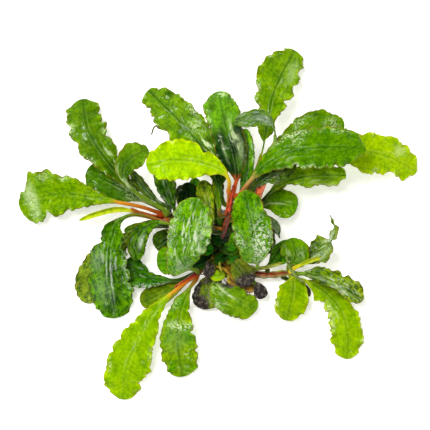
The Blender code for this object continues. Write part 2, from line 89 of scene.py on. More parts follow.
# The fine skin of a leaf
STALK_STEP = 0.9          # distance between the cross-sections of a stalk
BLADE_STEP = 0.42         # and of a blade
TIP_CLOSER = 1.25         # which come closer together towards its tip
ROOTED = 1.6              # how deep a stalk's foot goes into its stem
FOOT_SWELL = 0.35         # the sheath at a stalk's foot is this much thicker than the stalk
SHEATH_LENGTH = 2.2       # how far up the stalk that sheath reaches
LEAST_STEPS = (4, 28)     # fewest cross-sections of a stalk and of a blade
ACROSS = ((12, 16), (7, 12), (0, 9))  # a blade wider than the first has the second many spans a side
LAMINA_HALF = 0.15        # half the thickness of the blade between midrib and edge
LEAST_HALF = 0.35         # half the width that the deepest notches leave
LOBE = (1.5, 3.9)         # shortest and longest scallop of the edge
LOBE_OUT = 0.25           # how far they stand out
LOBE_DEPTH = (0.2, 0.75)  # how far the notches between them cut in
WHOLE_LOBES = 4.0         # half the width below which lobes and bumps get smaller with the blade
RIPPLE_HEIGHT = 0.5       # how far the scallops bend up or down
RIPPLE_BAND = 1.5         # how far in from the edge their bend fades out
RUFFLE_SHARE = 0.75       # the broad ruffles against the solid's
QUILT = 0.16              # height of the soft bumps all over the blade
QUILT_WAVES = (5.0, 11.0, 7)  # of the waves that make them: shortest, longest, and how many
PUCKER = 0.035            # height of the small ones between the veins
PUCKER_WAVES = (1.6, 3.2, 9)
GROOVE = 0.13             # depth of the channel along the midrib, on top
GROOVE_HALF = 0.4         # and half its width
RIDGE_AWAY = 0.85         # where the low ridge beside it runs
BLOTCH = 0.3              # how much the darker colour comes and goes over the blade
BLOTCH_WAVES = (5.0, 14.0, 7)
CRIMP_LIGHT_AND_SHADE = 0.45         # painted light on the raised crimps of the edge, painted shade in the sunk ones
CREST_PAINTED_GLINT = 0.7           # how strongly a painted glint lies on the raised crimps, where the waves below rise
CREST_GLINT_WAVES = (8.0, 18.0, 5)
PALE_UNDER = 0.2          # how much greyer the underside is

# The skin of a stem, and roots
STEM_RING = 0.5           # distance between the cross-sections of a stem
STEM_SIDES = 36
STALK_GROOVE = 0.3        # how deep the grooves between the stalks that make up a stem cut in
SCAR_SPACING = 3.4        # distance between the rings of old leaf scars
SCAR_HALF = 0.09          # half the width of one, as a share of that
SCAR_RISE = 0.13          # how far it stands out
SCAR_DARKER = 0.45        # and how much darker it is
STEM_SEED = 1000          # each stem's chance comes from this and its number in the list below
KNOBS = 0.1               # height of the small bumps between the scars
KNOB_WAVES = (1.8, 4.5, 7)
LINE_STEP = 2.2           # distance between the points of a stem's middle line
ROOT_SIDES = 6
ROOT_TOWARD = (0.13, 0.21, 1.0)  # no strand runs this way, so that all their rings are set by it
ROOT_STEP = 0.7
ROOT_COUNT = 150
ROOT_SEED = 77
ROOT_START = (0.6, 5.0)   # lowest and highest height that one starts at
ROOT_REACH = (1.6, 3.4)   # shortest and longest piece between its bends
ROOT_BEND = 1.1           # how far it turns there, in radians
ROOT_RADIUS = (0.2, 0.42)
# The fine roots' dark colours: partly their own, partly painted shade for the plant's middle
ROOT_TINTS_WITH_SHADE = ("12160A", "1E240C", "2E2A10", "0E1C0A", "3E3A18", "24401A")
MAT_CENTRE = (0.2, -5.6)  # the felted roots under the plant's middle
MAT_REACH = (8.8, 12.8)
MAT_HEIGHT = 5.6
# Its near-black, dark green and brown: partly the old roots' own colours, partly painted shade for the
# plant's middle
MAT_TINTS_WITH_SHADE = ("060A04", "1A4A0C", "2E2814")
MAT_SEED = 5
MAT_LUMPS = (1.4, 4.0, 14)   # the waves of its lumps, and of its colours
MAT_SHADES = (1.2, 3.4, 12)
MAT_RINGS = 34
MAT_SPOKES = 96

# Lights: name, place in metres, size in metres, watts, and whether gloss shows it. The one overhead is
# behind a polarising sheet, so that it brings out the leaves' own colour without a haze on them.
SOFT_BOXES = (
    ("overhead_box", (-0.5, 0.55, 1.5), 0.7, 22.5, False),
    ("north_west_box", (-0.6, 0.72, 0.85), 0.16, 5.4, True),
    ("north_east_box", (0.72, 0.6, 0.85), 0.12, 2.6, True),
    ("west_box", (-1.0, -0.1, 0.75), 0.1, 1.8, True),
    ("south_box", (0.1, -0.95, 0.7), 0.1, 1.4, True),
)

# The room's light: its strength, and its greys by height, from the horizon at 0 to straight up at 1
ROOM_STRENGTH = 1.3
ROOM_GREYS = ((0.0, 0.85), (0.25, 1.0), (0.42, 0.6), (0.55, 0.2), (0.7, 0.04), (1.0, 0.01))

# Loose strands: points, radius at the start and at the end, colour at the start and at the end
SMALL_STRANDS = {
    "hooked_fibre": [
        ([(-22.4, 37.9, 12.4), (-24.4, 38.8, 12.8), (-25.3, 37.5, 12.4), (-25.9, 35.5, 11.8)], 0.42, 0.3,
         "6E7A2A", "5A5420"),
    ],
    "bud_stems": [
        ([(-3.6, -16.7, 7), (0.4, -16.9, 8.4), (3.6, -18.3, 8.4), (6.3, -22.2, 7.2)], 0.5, 0.62,
         "B8A828", "C8922A"),
        ([(2.2, -13, 7), (1, -15.6, 9.4), (1.6, -18.2, 9.8)], 0.4, 0.5, "8A9A28", "B0A82C"),
        ([(5, -19.6, 7.6), (4.6, -22.6, 8.4), (7.6, -24, 6.6)], 0.7, 0.9, "8A8A20", "C0902C"),
    ],
    "crossing_stalks": [
        ([(27.4, -12.6, 11.2), (28.4, -16.4, 10.8), (30.8, -20, 9.2), (34, -23, 6.8)], 0.5, 0.6,
         "6E8A34", "8EA648"),
        ([(12.4, -17.6, 6.6), (18.4, -17.4, 7.4), (25.4, -15.6, 8.4)], 0.9, 0.7, "8EA02C", "B4C040"),
        ([(15.4, 7.8, 13), (16.6, 12.6, 18), (18.2, 17.4, 20.4)], 1.3, 1.8, "FF8A24", "FF7A5A"),
        ([(-21.4, 3, 7.6), (-28, 3.9, 8.2), (-34, 6.2, 8.8)], 0.5, 0.42, "B8441C", "C8701E"),
        ([(-8.6, -19.6, 7.2), (-12.2, -22, 8.4), (-16.6, -25, 8.8)], 0.6, 0.5, "8A2A18", "B8541C"),
        ([(4.6, 5, 19.6), (5.6, 9.6, 22.8), (6.4, 15, 25.6)], 0.62, 0.5, "F0542C", "A83A1C"),
        ([(3.4, 3.6, 18), (4.2, 8.2, 21.6), (4.4, 13, 25)], 0.5, 0.45, "D84A22", "C8801E"),
    ],
}


# What a leaf has where the lists below say nothing else
USUAL = dict(widest=0.62, cup=0.1, roll=0, twist=0, ruffle=0.3, waves=4, narrow=1.3, blunt=2.4,
             fade=(0.45, 0.3), turning=(0.1, 0.9), rib=(0.55, 0.35, 0.08),
             left=(), right=(), film=(), streak=(), speckle=(), crust=())


def leaf(name, midrib, stalk, width, skin, **others):
    """One leaf: the sizes that the part's source gives it, and its looks.

    midrib, stalk, width: its middle line, the stalk's share of that, and the blade's greatest width
    skin: the finish, the blade's colour, its darker colour, and the stalk's from foot to blade
    widest, narrow, blunt: the share of the blade at its greatest width, how late the blade widens
        before it, and how full the tip is
    cup, roll, twist: how far the margins stand up, the tilt to one side, and its change to the tip
    ruffle, waves: height and number of the broad waves
    fade, turning: how much of the darker colour there is at the blade's base and at its tip, and the
        shares of the blade between which the one turns into the other
    rib: how dark the midrib's line is, half its width, and how pale the ridges beside it are, in the
    sheen's colour: partly their own paler tissue, partly painted highlight
    left, right: that margin's notches (share along, depth, reach); a negative depth is a bulge
    film, streak, speckle, crust: patches (share along, share across,
    half length, half width, strength) of painted sheen, of painted sheen in streaks, of fine
    painted glints, and of algae
    """
    return {**USUAL, **others, "name": name, "midrib": midrib, "stalk": stalk, "width": width,
            "skin": skin}


# Stems: name, what carries it, points, radius at both ends, how much slimmer its skin is, and the
# colours from start to end of each of the stalks that it is made of
STEMS = [
    ("main_rhizome", None,
     [(-13.5, 0.2, 2.8), (-7, -4, 2.8), (-1, -9, 2.8), (3, -14, 2.8), (7, -20.5, 2.7), (13, -25.2, 2.6)],
     2.8, 2.5, 1, [("4A3C10", "8A641A", "C08C24")]),
    ("west_shoot", "main_rhizome",
     [(-15.6, 1.6, 3.6), (-18, 2.7, 5), (-20.3, 3.6, 6.6)], 1.9, 1.5, 0.9,
     [("5A5014", "8A6A1A", "B5641C"), ("4A5A14", "6E7A1C", "8E8A24")]),
    ("crown_stem", "main_rhizome",
     [(0.8, -7.4, 7), (2, -4.4, 10), (3.8, 1, 14), (4.9, 6.5, 18.5), (5.8, 11, 22.5)], 2.1, 1.5,
     0.62, [("120C06", "A83418", "E84A22"), ("241A08", "D8542C", "F05428"), ("221A08", "8A4A18", "C87A2C"),
            ("120C06", "C8441E", "F2603A"), ("2A1C0A", "8A4418", "B85824")]),
    ("south_west_shoot", "main_rhizome",
     [(-2, -14.6, 3.6), (-4.8, -17, 4.6), (-7.9, -19.6, 5.6)], 1.8, 1.5, 0.95,
     [("4A3A12", "8A3A16", "A8341A"), ("4A4A14", "6E5A1A", "8A5A1C")]),
    ("south_east_shoot", "main_rhizome",
     [(12.6, -19.4, 3.4), (16, -20, 3.8), (22, -20.2, 4.4), (28.4, -19.3, 5.2)], 1.8, 1.5, 0.9,
     [("8A7A1C", "A0AC30", "B4C040"), ("5A1A10", "8E2416", "7A4A20"), ("B8844A", "CC9466", "B0A850"),
      ("7A8A1C", "9AA42C", "A8B43A"), ("6A2014", "A8321C", "8A5A24"), ("A87A3A", "C08A5A", "A8A04A")]),
    ("east_shoot", "crown_stem",
     [(4.4, -3.6, 8.2), (8.5, 0.2, 8.2), (12.6, 4.4, 8.6), (15, 7, 9.2)], 1.7, 1.4, 0.9,
     [("2A240C", "7A501A", "C7761B"), ("243010", "5A6A1A", "9A9A24")]),
]

# Colours of a stalk, from its foot to its blade
ORANGE = ("B5401A", "C98A22")
YELLOW = ("B0701C", "B9A82A")
LIME = ("8FA024", "A9BE1C")
GREEN = ("6E7A1C", "6E9420")
PALE = ("6E8428", "8AA84C")
DARK = ("3A4A14", "3F6414")

LEAVES = {}
LEAVES["west_shoot"] = [
    leaf("west_large_leaf", [(-22.8, 4.4, 7.2), (-30, 6.8, 9.2), (-40, 8.8, 10), (-51, 10.8, 8.6),
         (-61.6, 12, 7), (-70.6, 10.6, 4.6), (-79.2, 7.4, 1)], 0.3, 19.2,
         ("smooth", "6B9601", "507D01", *ORANGE), widest=0.8, cup=0.05, ruffle=1.2, waves=8, narrow=1.6,
         blunt=2.8, fade=(0.35, 0.2), rib=(0.2, 0.25, 0.1), left=[(0.475, 0.9, 1), (0.6, -0.4, 2),
         (0.71, 2.6, 2.4)], right=[(0.55, 1.2, 1.5), (0.68, -1.1, 3.6), (0.8, -1.2, 1), (0.88, 3.2, 1.7),
         (0.95, 3.4, 3)], film=[(0.85, 0, 2.4, 8, 0.55)], streak=[(0.14, 0, 7, 2.2, 0.4)],
         speckle=[(0.7, 0.75, 2.4, 1.6, 0.5), (0.53, 0.85, 1.6, 0.8, 0.6)]),
    leaf("north_west_long_leaf", [(-21.6, 6.6, 8.4), (-29, 9.8, 12), (-36.8, 17.5, 13.4), (-45, 27, 13),
         (-51.4, 38, 8), (-53.8, 50, 1.2)], 0.26, 13.9, ("smooth", "567F01", "385E00", *PALE), widest=0.68,
         cup=-0.12, ruffle=1, waves=9, fade=(0.55, 0.15), rib=(0.75, 0.7, 0.12), left=[(0.52, -1, 2.2),
         (0.605, 1.2, 0.7), (0.7, -0.8, 1.4), (0.755, 0.5, 0.6), (0.84, -1, 3.2), (0.93, -1.8, 2.4)],
         right=[(0.4, -0.9, 2), (0.56, 1.6, 0.9), (0.68, -0.7, 1.2), (0.755, 0.6, 0.7), (0.84, 0.7, 0.9),
         (0.93, -1.4, 2.2)], streak=[(0.35, 0.42, 8, 1.1, 0.45), (0.06, 0.2, 5, 1.8, 0.45)],
         speckle=[(0.74, -0.85, 2.2, 1.4, 0.52), (0.44, -0.9, 2.4, 1.2, 0.59), (0.62, 0.85, 4, 0.9, 0.52)]),
    leaf("west_oval_leaf", [(-21.4, 5.6, 5.6), (-29, 9.2, 6.6), (-37, 13.7, 7.2), (-45.5, 18, 6),
         (-52.2, 20.8, 3.4)], 0.26, 14, ("smooth", "4A7901", "305D01", *PALE), widest=0.6, ruffle=0.6,
         waves=6, fade=(0.7, 0.25), rib=(0.5, 0.3, 0.2), left=[(0.8, 0.6, 1)], right=[(0.75, 0.5, 1)],
         film=[(0.06, 0.3, 2.6, 1.4, 0.3)], streak=[(0.25, -0.3, 7, 1.4, 0.45)],
         speckle=[(0.3, 0.35, 5, 3.2, 0.52)]),
    leaf("north_west_small_leaf", [(-19.6, 4.8, 10.8), (-27.4, 9.6, 15), (-34.6, 14.8, 17),
         (-37.2, 21.2, 18), (-33.6, 26.2, 18.4), (-27, 29.4, 17)], 0.56, 10,
         ("smooth", "5F890D", "3B6508", "7A9A1C", "4E6E18"), widest=0.66, cup=0.15, ruffle=0.5, waves=5,
         fade=(0.8, 0.15), rib=(0.6, 0.3, 0.1), left=[(0.65, -0.6, 1.6), (0.88, 0.9, 1.2)],
         right=[(0.24, -1.8, 2.6), (0.45, 0.5, 0.7), (0.87, 1.4, 1.3)], film=[(-0.02, 0, 2.4, 0.8, 0.5)],
         streak=[(-0.2, 0, 9, 2, 0.8), (0.25, -0.2, 3, 2, 0.4)]),
    leaf("west_narrow_leaf", [(-18.8, 6.4, 8.2), (-23.5, 9, 9.6), (-29, 14.6, 10.2), (-34, 21, 9.6)], 0.3,
         5.5, ("old", "4C701C", "2A4A0A", *DARK), cup=0.2, roll=-35, fade=(0.6, 0.3), rib=(0.6, 0.3, 0.3),
         streak=[(0.4, 0.2, 6, 1.2, 0.3)]),
    leaf("rolled_young_leaf", [(-22.6, 2.2, 6), (-30, 4.4, 6.8), (-39, 5.8, 7.6), (-47, 4.2, 6.6),
         (-55, 1.4, 4.8)], 0.35, 3.2, ("young", "B6C719", "95B413", "A8281A", "C8801E"), widest=0.4,
         cup=0.9, ruffle=0, fade=(0.3, 0.1), rib=(0.3, 0.3, 0.1), left=[(0.5, 0.5, 9)],
         right=[(0.5, 0.5, 9)]),
    leaf("south_west_hanging_leaf", [(-20.2, 0.7, 6.8), (-27, 2.8, 9), (-34, 3.6, 12), (-39.4, 0.4, 14),
         (-42, -6.4, 13.4), (-43, -15, 11.6), (-42.4, -26, 6.8), (-40.6, -37.6, 1)], 0.3, 17,
         ("old", "558E04", "214E01", "A85A1C", "5A7C1C"), widest=0.66, cup=-0.14, ruffle=1.1, waves=7,
         fade=(0.55, 0.3), rib=(0.35, 0.3, 0.15), left=[(0.18, -2, 2.2), (0.36, -1.2, 1.6), (0.3, 0.9, 0.8),
         (0.5, 1.2, 1.2), (0.66, 0.9, 1), (0.76, -0.7, 1.6), (0.86, -0.8, 2.6), (0.97, -2.2, 1.5)],
         right=[(0.15, -1.4, 2.6), (0.28, 1.2, 1), (0.36, -1.2, 2.2), (0.55, 1.3, 1.2), (0.74, 0.9, 0.9),
         (0.91, 0.9, 1), (0.97, -1, 1.2)], film=[(0.44, 0.6, 4.5, 2.4, 0.2), (0.6, -0.1, 9, 0.3, 0.85),
         (0.5, 0.1, 6, 0.2, 0.8), (0.7, 0.4, 6, 3.2, 0.15)], streak=[(0.5, -0.45, 9, 2.4, 0.4),
         (0.35, 0.4, 6, 2, 0.4)], speckle=[(0.55, -0.88, 9, 0.9, 0.7)]),
    leaf("south_west_hidden_leaf", [(-17.6, -0.8, 3), (-27, -1.4, 3.2), (-36, -5.4, 3.6),
         (-43.8, -13.6, 3.8), (-49.4, -22, 3.2), (-52.4, -31.6, 1.4)], 0.3, 14,
         ("old", "81A02C", "577415", *GREEN), cup=0.08, ruffle=0.6, waves=6, fade=(0.6, 0.4),
         rib=(0.4, 0.3, 0.3)),
    leaf("south_west_curved_leaf", [(-17.9, 0.1, 7.6), (-23.5, 0.6, 10), (-29, -2, 10.4), (-32, -7.4, 9.2),
         (-31.6, -14.4, 6.8)], 0.22, 7.6, ("old", "588D03", "386701", *GREEN), widest=0.6, cup=0.3,
         roll=-12, ruffle=0.4, waves=5, fade=(0.5, 0.4), rib=(0.5, 0.3, 0.15),
         film=[(0.62, -0.4, 3.5, 0.8, 0.8)], streak=[(0.5, 0.2, 8, 2, 0.35)]),
    leaf("west_slender_leaf", [(-18.6, -0.2, 5.4), (-27.5, -0.6, 6.2), (-37, -2.8, 5.6)], 0.3, 3.8,
         ("smooth", "5C8508", "3B6404", *DARK), cup=0.2, ruffle=0.2, waves=3, rib=(0.5, 0.3, 0.3),
         streak=[(0.5, 0, 6, 1, 0.2)]),
    leaf("shaded_leaf_under_young", [(-16.4, 4.6, 6.4), (-18.6, 10, 10), (-20.6, 16.6, 13),
         (-22.6, 23.6, 14)], 0.15, 8, ("old", "5A8E14", "2E5A0C", *DARK), widest=0.6, cup=0.12, ruffle=0.4,
         narrow=1, fade=(0.8, 0.5), rib=(0.5, 0.3, 0.3), streak=[(0.4, 0, 8, 3, 0.5)]),
]
LEAVES["south_west_shoot"] = [
    leaf("centre_left_leaf", [(-8, -18.4, 8.1), (-10.8, -17.4, 13.4), (-12.8, -12.4, 19), (-11, -5, 24),
         (-9.6, 3, 27), (-8.2, 10.4, 27.4)], 0.16, 17, ("grown", "69A40B", "397306", *GREEN), widest=0.56,
         cup=-0.06, ruffle=0.8, waves=8, narrow=0.8, fade=(0.3, 0.3), rib=(0.75, 0.3, 0.2),
         left=[(0.05, -4, 4), (0.18, -1.4, 4), (0.3, 0.6, 1.2), (0.72, 0.6, 1)], right=[(0.06, -2.6, 3.6),
         (0.45, 0.8, 1), (0.82, 0.5, 1)], film=[(0.45, 0.4, 5, 1.8, 0.15)],
         streak=[(0.5, 0.1, 14, 7, 0.85)], speckle=[(0.55, -0.85, 9, 1.6, 0.65), (0.5, 0.85, 8, 1.2, 0.52),
         (0.62, 0.5, 5, 2.6, 0.45), (0.1, -0.3, 4, 4, 0.3)]),
    leaf("round_leaf_under_centre", [(-9.2, -17.6, 6.2), (-14.6, -15.6, 8.8), (-18.6, -14.6, 9.4),
         (-24, -14.8, 8)], 0.3, 11, ("smooth", "558D05", "417902", *GREEN), widest=0.6, cup=0.05,
         narrow=0.9, fade=(0.3, 0.2), rib=(0.5, 0.3, 0.2)),
    leaf("south_west_long_leaf", [(-9.8, -21, 6.8), (-15, -25.2, 8.8), (-20, -29.4, 9.6),
         (-25.4, -35.6, 9.6), (-29.4, -42.4, 8.6), (-33.2, -50, 6.8), (-36.4, -59, 4.2),
         (-37.6, -70.2, 0.6)], 0.18, 16.6, ("young", "86B102", "6B9A01", "B8341A", "C98A1C"), widest=0.7,
         cup=-0.05, ruffle=1.1, waves=9, narrow=1.5, fade=(0.3, 0.15), rib=(0.15, 0.3, 0.12),
         left=[(0.25, 0.6, 1.2), (0.32, -0.5, 1), (0.475, 1, 0.8), (0.69, -1.1, 3.2), (0.83, 1.6, 2)],
         right=[(0.36, 1, 1), (0.53, 0.6, 1.6), (0.64, 0.4, 0.7), (0.78, 0.6, 0.6), (0.88, -1, 3),
         (0.93, 0.8, 0.6)], streak=[(0.4, 0.1, 13, 0.8, 0.45), (0.18, -0.3, 3, 1.4, 0.45)],
         speckle=[(0.55, -0.88, 2.4, 0.8, 0.59), (0.75, 0.8, 1.6, 0.8, 0.52)]),
    leaf("south_leaf", [(-8.2, -21.8, 6.2), (-11.4, -26.4, 8), (-14.4, -34, 9), (-15.6, -43, 8.4),
         (-15, -52, 5.4), (-13.6, -61, 1.6)], 0.12, 14.6,
         ("smooth", "7BA201", "508A01", "9A4A18", "7A7A20"), widest=0.68, cup=0.05, ruffle=0.8, waves=8,
         narrow=1.2, fade=(0.6, 0.35), rib=(0.6, 0.35, 0.1), left=[(0.25, 0.8, 1.4), (0.485, 1.4, 0.9),
         (0.71, 0.6, 0.7), (0.93, -1, 2)], right=[(0.16, -0.8, 2.6), (0.67, 0.9, 1), (0.84, 0.9, 1.5)],
         film=[(0.56, 0.1, 4.5, 4.5, 0.1)], speckle=[(0.42, -0.1, 1.8, 5, 0.9), (0.2, 0.6, 2.4, 1, 0.5)]),
    leaf("west_low_leaf", [(-10, -20.2, 5.2), (-16, -22.4, 5.4), (-24, -21.8, 4.6), (-31.6, -19.6, 3.8),
         (-38.6, -17.4, 2.6)], 0.3, 11.5, ("old", "417E05", "275E02", *DARK), widest=0.72, ruffle=0.7,
         waves=6, fade=(0.5, 0.4), rib=(0.5, 0.3, 0.12), right=[(0.42, 2.4, 4.5)],
         streak=[(0.6, 0.1, 6, 2.5, 0.3)], speckle=[(0.45, -0.85, 8, 0.9, 0.65)]),
    leaf("olive_low_leaf", [(-8.6, -20.8, 3.2), (-14.6, -24.4, 2.8), (-22.4, -28, 2.4),
         (-30.6, -31.6, 1.4)], 0.2, 9, ("smooth", "789510", "4F720B", *GREEN), widest=0.7, cup=0.05,
         ruffle=0.2, fade=(0.4, 0.5), rib=(0.4, 0.3, 0.1)),
    leaf("algae_leaf_left", [(-1.6, -13.4, 6.6), (-3, -16.6, 10), (-4.2, -21, 11)], 0.2, 5.4,
         ("algae", "7E8A26", "565A22", *YELLOW), ruffle=0.2, waves=3, narrow=0.8, right=[(0.6, 1, 2.4)],
         crust=[(0.66, 0, 3.6, 3, 0.9)]),
]
LEAVES["main_rhizome"] = [
    # Its very dark colours are partly painted shade, for the shadow it lies in under the other leaves
    leaf("inner_shaded_leaf", [(-12.8, -3.4, 5.6), (-18, -4.8, 6.8), (-24.6, -9.4, 5.4)], 0.2, 9,
         ("old", "3F620E", "172808", *DARK), cup=0.15, rib=(0.4, 0.3, 0.2)),
    leaf("bud_leaf", [(2.4, -18.6, 5.6), (1.4, -20.2, 8.4), (-0.4, -20.4, 9.4), (-2.4, -19.4, 9.6)], 0.25,
         4.6, ("young", "95C302", "7FAF01", *YELLOW), ruffle=0.15, waves=3, narrow=0.7, fade=(0.2, 0.2),
         rib=(0.4, 0.3, 0.2)),
    leaf("round_front_leaf", [(4.6, -15.2, 6.1), (6.4, -15.2, 9), (9.6, -18.8, 10), (12.6, -24.6, 8)], 0.16,
         8.8, ("algae", "64771A", "3F5212", *GREEN), widest=0.6, cup=0.08, ruffle=0.2, narrow=0.8,
         fade=(0.2, 0.5), rib=(0.4, 0.3, 0.3), crust=[(0.95, 0, 5, 6, 1)]),
    leaf("algae_leaf_right", [(13.8, -22.3, 5.6), (16.4, -25.4, 5.8), (18.6, -29.6, 4.2)], 0.3, 5.4,
         ("algae", "6A7430", "4A4A28", *GREEN), ruffle=0.2, waves=3, narrow=0.8,
         crust=[(0.66, 0, 4.6, 4, 1)]),
    leaf("algae_front_leaf", [(0.8, -17.6, 4.6), (-2.2, -22.4, 4.4), (-4.4, -27.6, 4), (-7, -33.6, 2.2)],
         0.2, 9.8, ("algae", "79921C", "546E10", *GREEN), widest=0.6, cup=0.08, narrow=0.9,
         left=[(0.5, -2.4, 5)], speckle=[(0.5, -0.4, 4, 2.4, 0.5)], crust=[(0.92, 0.15, 4, 4.4, 1),
         (0.6, 0.9, 4.4, 2, 1), (0.25, 0.5, 3.4, 2, 0.5)]),
    leaf("front_leaf", [(2.2, -20.4, 5), (0.6, -23.6, 7), (3.6, -27.4, 7.6), (9.6, -31, 6.2),
         (16.2, -33.6, 3.8)], 0.16, 11.4, ("smooth", "6E980E", "558207", *GREEN), widest=0.6, cup=-0.05,
         ruffle=0.5, waves=5, fade=(0.7, 0.2), rib=(0.15, 0.3, 0.15), left=[(0.7, 1.5, 3)],
         right=[(0.22, -2.8, 4), (0.52, -1.4, 5), (0.84, -0.8, 2)], film=[(0.32, 0, 4.4, 0.4, 0.9)],
         streak=[(0.3, 0.4, 4.5, 2, 0.35)], speckle=[(0.3, 0.8, 3, 1.4, 0.52), (0.14, 0.2, 3.4, 2.6, 0.5)],
         crust=[(0.2, -0.8, 4.4, 1.8, 0.6)]),
    leaf("centre_small_leaf_1", [(-3.4, -4, 6.6), (-5.6, -4.6, 10), (-5, -8.6, 12), (-2.2, -11.6, 12)], 0.2,
         6.4, ("old", "3AA617", "1E5F0A", *DARK), ruffle=0.2, waves=3, narrow=0.8),
    leaf("centre_small_leaf_2", [(1.8, -11.2, 6.2), (5.4, -10.8, 9), (7.2, -7.4, 10.6), (7.6, -3, 11.4)],
         0.2, 6, ("old", "4D8E05", "244D02", *DARK), ruffle=0.2, waves=3, narrow=0.8),
    leaf("inner_algae_leaf", [(-9.8, 0.8, 6), (-12.6, 7, 9), (-14.4, 15.6, 10)], 0.2, 5.6,
         ("algae", "406A22", "16300C", *DARK), ruffle=0.4, crust=[(0.6, 0.2, 6, 3, 0.5)]),
    leaf("inner_dark_leaf", [(-6, -1.6, 6.4), (-7.6, 7.6, 8), (-9, 18.4, 9)], 0.3, 6,
         ("old", "4E9A1C", "2E6A10", *DARK)),
]
